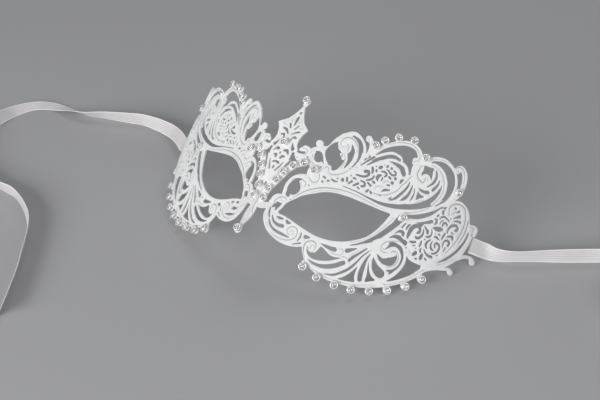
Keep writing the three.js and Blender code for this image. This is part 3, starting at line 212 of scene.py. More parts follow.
# ---------------------------------------------------------------- the pattern of the right half, flat
# u along the sheet from the middle, v up it; each band or slot has its widths along the way and the points of its centre line
BANDS = [
    ([2, 3.4, 4.2, 2.2, 1.2], [(0, 17), (0, 12), (0, 8), (0, 4.4), (0, 1.5)]),  # lozenge
    ([3.2, 3, 2.2], [(0, 15), (3, 14.6), (6.2, 16.2)]),  # bridge
    ([3, 3.6, 5.2, 8, 10], [(0, 16), (0, 22), (0, 28), (0, 34), (0, 39)]),  # stalk
    ([3.4, 3.2, 3.2, 3.2, 3], [(1.2, 17), (2.3, 23), (4.4, 28), (8.5, 36.4), (13.2, 40.2)]),  # chain
    ([2.2, 1.8, 1.6], [(6.5, 43.5), (9, 43.6), (9.5, 45.6)]),  # curl a
    ([3, 3.6], [(11, 46.2), (12.4, 45.8)]),  # curl a head
    ([4.6, 5, 4], [(10, 42.2), (13.5, 43.6), (16.6, 41.6)]),  # curl a tie
    ([1.9, 1.7, 1.7, 1.8], [(13.6, 44.5), (15.6, 47.9), (19.4, 48.3), (23, 43)]),  # arch b
    ([3.2, 3.2], [(16.5, 50.9), (16.8, 50.9)]),  # ball b
    ([4.4, 3], [(16.2, 44.4), (14.6, 46)]),  # arch post
    ([2.4, 1.7, 1.7, 2, 1.9, 1.7, 2], [(17.4, 49.2), (20.9, 50.4), (24.1, 56.6), (30.2, 61.2), (35.6, 58), (37.4, 54), (37.2, 48)]),  # c scroll
    ([5.2, 6.8, 5], [(26.8, 57.4), (27.9, 54.6), (28.6, 53.4)]),  # paisley head
    ([4.4, 2.6, 1.9, 1.9, 2.6], [(28, 57.8), (31.6, 57.2), (34.1, 53), (34.2, 48.5), (31.6, 42.8)]),  # paisley arc
    ([2.6, 2.8], [(28.3, 49.6), (28.5, 49)]),  # ball c
    ([1.2, 1.3, 1.6], [(29.8, 50.9), (30.8, 47.6), (29.6, 42.6)]),  # stem c
    ([2.8, 2, 1.7, 1.6], [(37, 61.6), (38.7, 60.4), (39.5, 57.5), (39, 53.5)]),  # ball d
    ([2.4, 2.4], [(41, 59.4), (41.4, 55.4)]),  # tie t1
    ([2, 1.9, 1.9, 2.2, 2, 2.4], [(41.6, 56.6), (44.8, 60.8), (49.2, 64), (54.6, 66.4), (59.4, 65.8), (62.8, 62.6)]),  # top arch
    ([1.5, 1.2, 1.2, 1.2], [(38.4, 49.8), (43.4, 55.4), (50.4, 59.6), (55, 57.2)]),  # arch c
    ([1.3, 1.2, 1.3, 1.4], [(44.8, 52.6), (50.4, 56.4), (57.4, 56), (60.2, 51)]),  # arch d
    ([5, 9, 13.5, 16, 13], [(26, 39), (34, 42.5), (42, 45.2), (49.4, 47.2), (53, 47.6)]),  # panel fill
    ([3, 3.2, 3], [(58.9, 52), (58, 45), (53.4, 39.6)]),  # panel wall
    ([6, 8.6, 7.4, 5, 3.4, 3.4, 3.6], [(15, 25.6), (20, 31.6), (28, 35.2), (38, 35.6), (48, 34.6), (56, 34.2), (61, 33.8)]),  # lid
    ([6, 8.5, 7], [(19.6, 40.6), (20.4, 36.8), (23, 39.6)]),  # brow plate
    ([3.6, 4.4], [(24.4, 41.4), (30, 41)]),  # brow wave
    ([2.6, 2.4, 2.4, 2.6, 2.4], [(32, 38), (42, 37.6), (50, 37.6), (56.6, 38), (62, 40.4)]),  # lid upper
    ([2.4, 2.6, 2.4, 2.2, 2.2], [(60, 40), (66, 42.2), (71.4, 46.4), (74.4, 51), (75.4, 56)]),  # fan rim
    ([1.2, 1.2, 1.5], [(60.8, 52.5), (60.4, 45.6), (57.4, 40.2)]),  # fan a
    ([1.3, 1.2, 1.4], [(63, 50.4), (62.4, 45.4), (59.6, 40.6)]),  # fan b
    ([1.3, 1.2, 1.4], [(64.8, 50), (64.7, 45.4), (63.8, 41.4)]),  # fan c
    ([1.3, 1.3, 1.4], [(66.2, 49.8), (66.4, 46), (66.4, 42.6)]),  # fan d
    ([1, 1.3, 1.4], [(66.2, 48), (69.4, 47), (72.4, 47.2)]),  # fan e
    ([2.4, 1.6, 2], [(66, 50.4), (69.4, 49.9), (73, 50)]),  # fan f
    ([4.2, 5.4, 5.6, 4.6], [(63, 61.4), (63.2, 57), (63.8, 53.6), (64, 50.8)]),  # fan body
    ([3.2, 4.4], [(64.6, 52.2), (68.2, 52.6)]),  # fan body2
    ([4.4, 4], [(67.8, 54.2), (68.6, 53.8)]),  # fan ball
    ([2.6, 2, 1.8], [(61, 59.4), (61.4, 60.6), (63, 62)]),  # fan lobe
    ([2, 2.6, 3.4, 3.8, 3.2, 2.2, 1.2], [(64, 60.8), (69.6, 61.4), (74.2, 59.4), (77, 55.6), (78, 51.4), (77.4, 47.6), (75.6, 44.6)]),  # fan top
    ([1.5, 1.3, 1.4], [(71, 60), (71.5, 56.6), (70.6, 54)]),  # fan hook
    ([2, 1.6, 1.8, 2.2], [(72.6, 60.4), (74.4, 57), (73.6, 52.8), (70.6, 50.6)]),  # fan hook2
    ([2, 1.9, 1.9, 2, 2.1, 2.6, 3], [(65.6, 62.4), (69.8, 64.9), (74.4, 65.4), (79.6, 62.6), (82.6, 57.4), (83, 52), (81.4, 47)]),  # outer arc
    ([3, 2.4, 2.2, 2.2, 2.6], [(60.6, 34.6), (66, 36.6), (72, 39.6), (77, 43.4), (80, 47)]),  # sweep a
    ([2, 1.8, 1.9, 2.4], [(64, 32.6), (71, 34.6), (77, 38.4), (81.6, 43.6)]),  # sweep b
    ([3, 2.4, 2.2, 2.2, 2.2, 2.6], [(81.2, 63.8), (82.2, 65.4), (85.2, 63.8), (86.8, 59), (86.4, 54.4), (84, 50.4)]),  # loop e
    ([2.4, 3.4, 3.4, 3], [(83.4, 47.4), (88, 49.4), (93, 47.2), (96.4, 41)]),  # panel r top
    ([3, 3, 2.6, 2.4, 2.2], [(96.6, 42), (96.6, 36), (94.2, 29), (89.4, 22.8), (84, 18.8)]),  # panel r edge
    ([11, 14, 14, 10], [(88.4, 44.2), (88.2, 38), (86.4, 31), (83.4, 25)]),  # panel r fill
    ([9, 11, 9], [(82, 38), (80.4, 31.6), (79, 24.4)]),  # panel r fill2
    ([4, 8, 9], [(67, 30), (72, 29.6), (76, 26.4)]),  # panel r fill3
    ([2.2, 3.2, 4.2, 5], [(71.6, 21.8), (75, 18.6), (80, 18.4), (85, 19.4)]),  # panel r base
    ([1.7, 1.6, 1.8], [(59.6, 20.2), (63.4, 26), (67.4, 32.4)]),  # panel r left
    ([1.2, 1.2, 1.3], [(62.6, 22.6), (66.4, 26), (69.6, 25)]),  # panel r lace
    ([1.2, 1.3], [(66, 28.4), (71, 24.4)]),  # panel r lace2
    ([2.2, 2.2, 2.6, 3.2, 3.4, 3], [(100.2, 39), (99.8, 34), (98.2, 28.8), (94.6, 23.8), (90.2, 20), (86, 17.4)]),  # strap
    ([4, 4.6, 2.4], [(97.6, 41), (100.6, 41.2), (101.6, 39.6)]),  # tab
    ([2.4, 1.6, 1.4, 2.6], [(95.6, 24.8), (101, 28.1), (105, 28.7), (106.8, 27.2)]),  # tail up
    ([3.4, 2.6, 1.5, 1.5, 2.4], [(83.4, 15.8), (87.6, 17.8), (92.6, 19), (95.6, 19.6), (97, 18.6)]),  # tail low
    ([2.2, 2, 2.3, 2.1, 2.1, 2.6, 2.1, 2, 2.4], [(28.4, 2.6), (31.6, -1.6), (37.2, -4.2), (44, -5.1), (54, -3.9), (64, -0.2), (72, 3.9), (79.4, 9.9), (83.6, 15.4)]),  # rim
    ([2.2, 2.6, 5.2, 5], [(28, 3.4), (27.6, 6.4), (30.8, 6.8), (31.6, 6)]),  # lobe head
    ([1.8, 2.6, 2.8, 2.8, 2.4, 2.2], [(6.1, 16.6), (7.1, 10.8), (10.6, 5.8), (16, 3.3), (22, 3.2), (27.6, 5.4)]),  # nose outer
    ([2.6, 3.4, 4.2], [(6.4, 17.6), (7.9, 20.4), (10.6, 20.8)]),  # nose top
    ([4, 8.4, 10.2, 9, 6.4], [(9.2, 14), (12.4, 9.6), (17, 8.2), (22, 7.4), (26, 8)]),  # nose fill
    ([6.4, 6.6], [(19.6, 8), (20.4, 8)]),  # nose ball
    ([1.8, 1.4, 1.8], [(20, 4.2), (25.4, 6), (25.2, 10.6)]),  # nose arc
    ([1.6, 1.4, 1.5, 2.4, 2.2], [(9.9, 23.4), (9.8, 28.4), (12.2, 32.6), (16.6, 34), (18, 32)]),  # loop in
    ([2.4, 2, 1.9, 2.2, 2.4, 2.6, 2.8, 3.2, 3.4], [(10.4, 16.6), (13.6, 13.1), (20, 11.4), (29, 9.6), (38, 9.9), (46.4, 12.9), (53.4, 18.2), (58.4, 25.6), (60.6, 33)]),  # eye low
    ([2.2, 1.9, 2.2], [(10.2, 14.6), (11.6, 19.6), (15.6, 24.6)]),  # eye in
    ([1.8, 1.8, 2.6, 3.6], [(44, 11), (50, 12.8), (55.6, 15.8), (59, 18)]),  # cheek sweep
    ([1.2, 1.2, 1.5, 1.5, 1.8], [(33.4, 7.9), (41.4, 5.1), (47.4, 7.4), (52, 11.8), (56, 15.2)]),  # petal a
    ([1.4, 1.2, 1.3, 1.5], [(28.8, 3), (33.2, -0.6), (41, 1.5), (48.4, 7.2)]),  # petal b
    ([1.6, 2.2, 2, 1.7, 1.8], [(34.4, -3.4), (42, -1.8), (48.4, 2.9), (52.4, 9), (56.4, 15)]),  # petal c
    ([1.3, 1.2, 1.2, 1.5], [(44, -4.8), (50.4, 0), (54.2, 8), (57.4, 15)]),  # petal d
    ([1.5, 1.1, 1.2, 1.4], [(55.6, -3.2), (54.5, 2.4), (55.6, 8.6), (58, 15.4)]),  # petal e
    ([1.4, 1.1, 1.2, 1.4], [(58.4, -2.2), (59, 1.4), (58, 8.2), (58.4, 15)]),  # petal f
    ([1.4, 1.2, 1.4], [(65.6, 2), (60.8, 5.4), (58.9, 13.6)]),  # petal g
    ([2.2, 1.5, 1.4, 1.9], [(67.6, 2.2), (67.4, 7.2), (62.4, 9.6), (59.4, 14.4)]),  # petal h
    ([2.2, 2.4], [(43.8, 8.6), (44.6, 8.6)]),  # ear ball
    ([3.4, 3.2], [(44, 8.3), (45, 7.2)]),  # lobe ball
    ([5, 6, 4.6], [(57.6, 15.4), (59, 17.2), (61.2, 19.6)]),  # hub
    ([3.8, 4, 3], [(62.6, 14.4), (64.4, 15.4), (67, 16.7)]),  # spiral ball
    ([2, 1.7, 1.6, 1.6, 1.6, 1.6], [(63.6, 17.6), (67.4, 18.7), (70.3, 15.8), (69.4, 10.9), (65.6, 9.3), (60.8, 12.6)]),  # ring in
    ([2.4, 1.6, 1.5, 1.5, 1.6, 2], [(60.6, 20.4), (65.6, 22.5), (71, 20.2), (72.9, 14.2), (70.8, 8), (66.8, 3.2)]),  # ring out
    ([1.03, 1.12, 1.07, 1.03, 1.03], [(51.2, 59.4), (53.3, 59.2), (54.5, 58.2), (55.1, 57), (56.6, 56.4)]),  # arch c loop
    ([2.32, 2.32], [(60, 60), (60.7, 60.5)]),  # corner lobe
    ([1.69, 2.08, 1.9], [(71.1, 23.4), (74, 21.7), (76.8, 20)]),  # lace
    ([3.71, 5.11, 5.16, 2.84], [(65.9, 49.7), (68.4, 52.3), (70.4, 55.1), (70.8, 57.8)]),  # fan fill
    ([2.33, 2.8, 2.33], [(62.3, 52.3), (62.3, 49.7), (62.3, 47.2)]),  # fan fill2
]
OPENINGS = [
    [(10.9, 14.2), (13, 18.6), (17, 24.4), (22.4, 28.2), (30, 31.5), (38, 32.9), (48, 33), (55.5, 32.9), (58.6, 33), (59.1, 32.7), (58.8, 31.6), (57.2, 27), (52.8, 19.3), (46, 14.4), (37.6, 11.2), (30.6, 10.6), (22, 12), (15, 13.7)],  # eye
    [(16.4, 46.4), (18.2, 46.9), (20.8, 44.2), (19.2, 42.5), (17.2, 42.9)],  # arch hole
    [(20.4, 48.8), (23.8, 54.6), (26.2, 50.9), (29.2, 47.2), (28.6, 43), (26.3, 41.5), (25.2, 43.5), (23.2, 44)],  # heart hole
    [(11, 24.6), (11.1, 28.8), (14.1, 31.2), (16.2, 27.4), (14.2, 24.3)],  # loop hole
    [(29.1, 3.8), (29.9, 2), (31.9, 0.6), (34.6, 0.4), (37.7, 1.1), (40.8, 2.4), (43.6, 4.2), (45.3, 5.6), (43.1, 5), (40.7, 4.8), (38.4, 5.6), (36.1, 6.7), (34.8, 6.9), (34.2, 5.6), (33.4, 3.7), (31.8, 2.8), (30.1, 3.2)],  # lobe gap
    [(30.8, -0.5), (33.1, -1.7), (35.9, -2.2), (38.9, -2.1), (42, -1.1), (44.9, 0.6), (46.9, 2.3), (48.2, 3.7), (47.4, 5), (45.7, 4.1), (43.8, 2.5), (41.3, 1), (38.6, -0.2), (35.9, -0.8), (33.1, -0.7)],  # petal gap b
    [(47.2, -3.9), (49.2, -2.3), (50.9, -0.3), (52.3, 2), (53.8, 4.7), (53.9, 2), (54.2, -0.3), (55, -2.2), (52.6, -3.1), (49.7, -3.7)],  # petal gap d
    [(59.5, -0.4), (61.5, 0.5), (63.7, 2), (61.8, 2.8), (60.3, 4.1), (59, 6.3), (57.8, 8.8), (58.4, 5.3), (59.1, 2.9)],  # petal gap f
    [(59.1, 11.7), (59, 10), (59.5, 8.1), (60.3, 6.3), (61.7, 4.8), (63.4, 3.8), (65, 3.6), (66.3, 4.3), (66.9, 5.7), (66.4, 7), (64.8, 7.9), (62.7, 8.7), (61, 9.9), (59.9, 10.9)],  # petal gap g
    [(60.1, 13.6), (60.8, 12.2), (62.1, 11), (63.9, 10.2), (65.9, 10.3), (67.7, 11.3), (68.7, 12.9), (69, 14.5), (67.4, 13.9), (65.6, 14.1), (64.7, 13.1), (63.4, 12.6), (61.9, 13)],  # ring gap2
    [(65.9, 54.8), (65.6, 55.6), (65.7, 57), (66.5, 58.6), (68.1, 59.8), (70, 60.4), (70.5, 60.2), (70.5, 58.7), (70.8, 57), (71.1, 55.4), (70.9, 54.8), (70.4, 55.2), (69.7, 56), (68.6, 56.5), (67.4, 56.4), (66.5, 55.7)],  # fan gap6
    [(67.1, 47.6), (68, 47), (69.3, 46.6), (70.7, 46.5), (70.5, 45.9), (68.9, 44.7), (68, 43.8), (67.3, 43.6), (67.4, 44.6), (67.2, 46)],  # fan gap3b
    [(63.7, 49.6), (64.2, 48), (64.3, 46.1), (64, 43.9), (63.2, 41.9), (61.9, 40.8), (60.5, 40.3), (61.2, 41.4), (62.2, 43.2), (62.9, 45.2), (63.3, 47.2), (63.5, 49)],  # fan gap2
    [(50.6, 55.5), (52.5, 55.7), (55, 55.6), (57.1, 54.8), (58.6, 53.5), (59, 52.2), (58.5, 51.3), (57.6, 51.4), (56.5, 52.4), (55.4, 53.7), (53.8, 54.8), (52.2, 55.3)],  # panel crescent
]
SLOTS = [
    ([0.5, 0.9, 1.1, 1.3, 0.5], [(8.7, 9.7), (10.2, 7.4), (12.5, 6.1), (16, 5.6), (19.4, 5.3)]),  # nose slot2
    ([0.4, 1, 1.4, 1.7], [(9.2, 12), (10.6, 9.8), (12.8, 8.9), (14.9, 9.1)]),  # nose slot3
    ([1.8, 1.2, 0.4], [(26.6, 8.4), (27.6, 8.7), (28.6, 8.8)]),  # nose slot5
    ([0.4, 1.9, 2, 1.4, 0.3], [(31, 56), (32.2, 53.2), (32.2, 50.6), (32.1, 47.6), (31.3, 44.6)]),  # paisley gap
    ([0.4, 1, 1, 0.4], [(30, 60.3), (33.4, 59.2), (35.4, 57), (36.5, 54.6)]),  # scroll gap
    ([1.3, 1.5, 1.4, 1.1, 0.4], [(53.8, 57.8), (50.6, 58.2), (46.6, 56.2), (43.3, 53), (40.7, 50)]),  # arch gap2
    ([0.3, 0.4, 0.7, 1.4, 2, 1.8, 1.9, 1.5, 0.5], [(34, 36.7), (41, 36.6), (47, 36), (53.6, 35.8), (60, 37.1), (66.4, 39.4), (72, 43.2), (75.6, 47.8), (76.8, 53.6)]),  # lid gap
    ([1.3, 1.7, 1.6, 0.5], [(67, 34.9), (71.6, 36.5), (76.6, 40.2), (80.4, 44.8)]),  # sweep gap
    ([0.3, 1.3, 2.4, 2.5, 1.7, 1, 0.3], [(77.4, 44.4), (81.1, 49.6), (81.7, 56), (79.4, 61), (74.6, 63.8), (71.2, 63.7), (68.2, 62.4)]),  # arc gap
    ([0.8, 1.8, 1.2], [(83, 63.2), (83.8, 60.6), (84.5, 57.4)]),  # loop gap
    ([0.7, 1.8, 0.5], [(59, 61.6), (58.6, 59.6), (60.4, 55)]),  # fan notch
    ([1.2, 1.5, 1.5, 1.4, 0.4], [(98.6, 38.9), (98.3, 35), (96, 29), (92.2, 23.8), (88.8, 20.8)]),  # edge gap
    ([0.4, 1.2, 1.4, 1.2, 0.9, 1.1, 0.5], [(63, 17.3), (65.2, 19.9), (68.8, 20.4), (71.5, 17), (71.6, 12.6), (69.6, 9.2), (67, 8)]),  # ring gap
    ([1.2, 1.4, 1, 0.8, 0.5], [(49.2, 5.9), (50.3, 7.9), (51.9, 10), (53.5, 12.2), (54.8, 14)]),  # petal gap a
    ([0.4, 1, 1.1, 1.1, 1.1, 0.8, 0.6, 0.4], [(41.2, -3.9), (44.5, -3.1), (47.6, -0.8), (50, 1.7), (51.6, 4.1), (52.8, 6.7), (54, 9.7), (56.1, 13.2)]),  # petal gap c
    ([2.1, 2.3, 1.9, 1.3, 0.8, 0.4], [(56.9, -0.3), (56.3, 2.3), (56.2, 5.7), (56.3, 8.4), (56.7, 10.5), (57.3, 12.2)]),  # petal gap e
    ([0.3, 0.6, 0.8, 1.2, 1.7, 2, 2.1, 2.2, 1.5], [(47.1, 12.6), (49.6, 14), (51.9, 15.8), (54.1, 17.7), (56.4, 20), (58.7, 23), (60.7, 26.2), (62.3, 28.8), (63.1, 30.7)]),  # lid low gap
    ([0.3, 1.4, 1.8, 2], [(34.5, 8.3), (37.1, 8), (39.6, 7.9), (41.2, 8.1)]),  # ear gap
    ([2, 1.4, 0.4], [(46.7, 9.7), (48.2, 10.7), (50.5, 12.3)]),  # ear gap2
    ([0.77, 1.06, 1.24, 1.14, 0.84, 0.47], [(71.8, 59.5), (72.6, 58), (72.9, 56.4), (72.5, 54.4), (71.6, 52.7), (70.4, 51.2)]),  # fan slot7
    ([0.39, 0.96, 1.33, 1.41], [(74.8, 56), (74.9, 54.3), (74.2, 52.3), (73.4, 50.8)]),  # fan slot5
    ([0.39, 0.78, 1.06, 1.52, 1.52], [(76.7, 54.2), (76.8, 52.4), (76.6, 50.5), (75.8, 48.4), (74.8, 46.2)]),  # fan slot8
    ([0.47, 1.03, 1.49, 1.58], [(67.1, 49), (69, 48.5), (70.5, 48.5), (71.7, 48.9)]),  # fan slot4
    ([0.33, 0.56, 0.65, 0.37], [(65.2, 48.2), (65.7, 46.1), (65.7, 43.9), (65.2, 42.2)]),  # fan slot3
    ([0.37, 0.84, 1.02, 1.16, 1.11, 0.65, 0.28], [(62, 50), (61.9, 48.1), (61.2, 45.8), (59.9, 43.1), (58.6, 40.8), (57, 39.2), (55.9, 38.7)]),  # fan slot1
    ([0.3, 0.7, 0.5], [(6.9, 15.2), (7.4, 12.8), (8.2, 10.8)]),  # nose slot
    ([0.7, 1.3, 0.7], [(11.4, 12.2), (12.6, 12.1), (13.9, 12.3)]),  # nose hole1
    ([0.9, 1.5, 0.5], [(15.9, 12.1), (16.7, 11.5), (17.9, 11.8)]),  # nose hole2
    ([0.5, 0.8, 0.4], [(24.2, 9.3), (24.4, 7.4), (23.8, 5.4)]),  # nose slot4
    ([0.7, 0.4], [(25.4, 4.9), (22.4, 3.2)]),  # nose slot6
    ([0.4, 1.5, 0.5], [(9.3, 14.8), (9.7, 17.2), (10.6, 18.6)]),  # eye chip
    ([1, 1.3, 1], [(36, 53.2), (36, 52.3), (36, 51.4)]),  # scroll gap2
    ([0.5, 0.6, 0.4], [(35.7, 49.6), (35.3, 48.2), (34.7, 46.6)]),  # scroll gap3
    ([0.9, 0.8, 0.4], [(42.4, 54.7), (40.3, 52), (38, 48.8)]),  # arch gap
    ([0.5, 0.6, 0.6, 0.4], [(96, 44.2), (96.5, 41.4), (96.4, 37), (95.2, 32.6)]),  # edge line
    ([0.9, 0.9], [(100.6, 39.1), (100.8, 39)]),  # tab hole
]
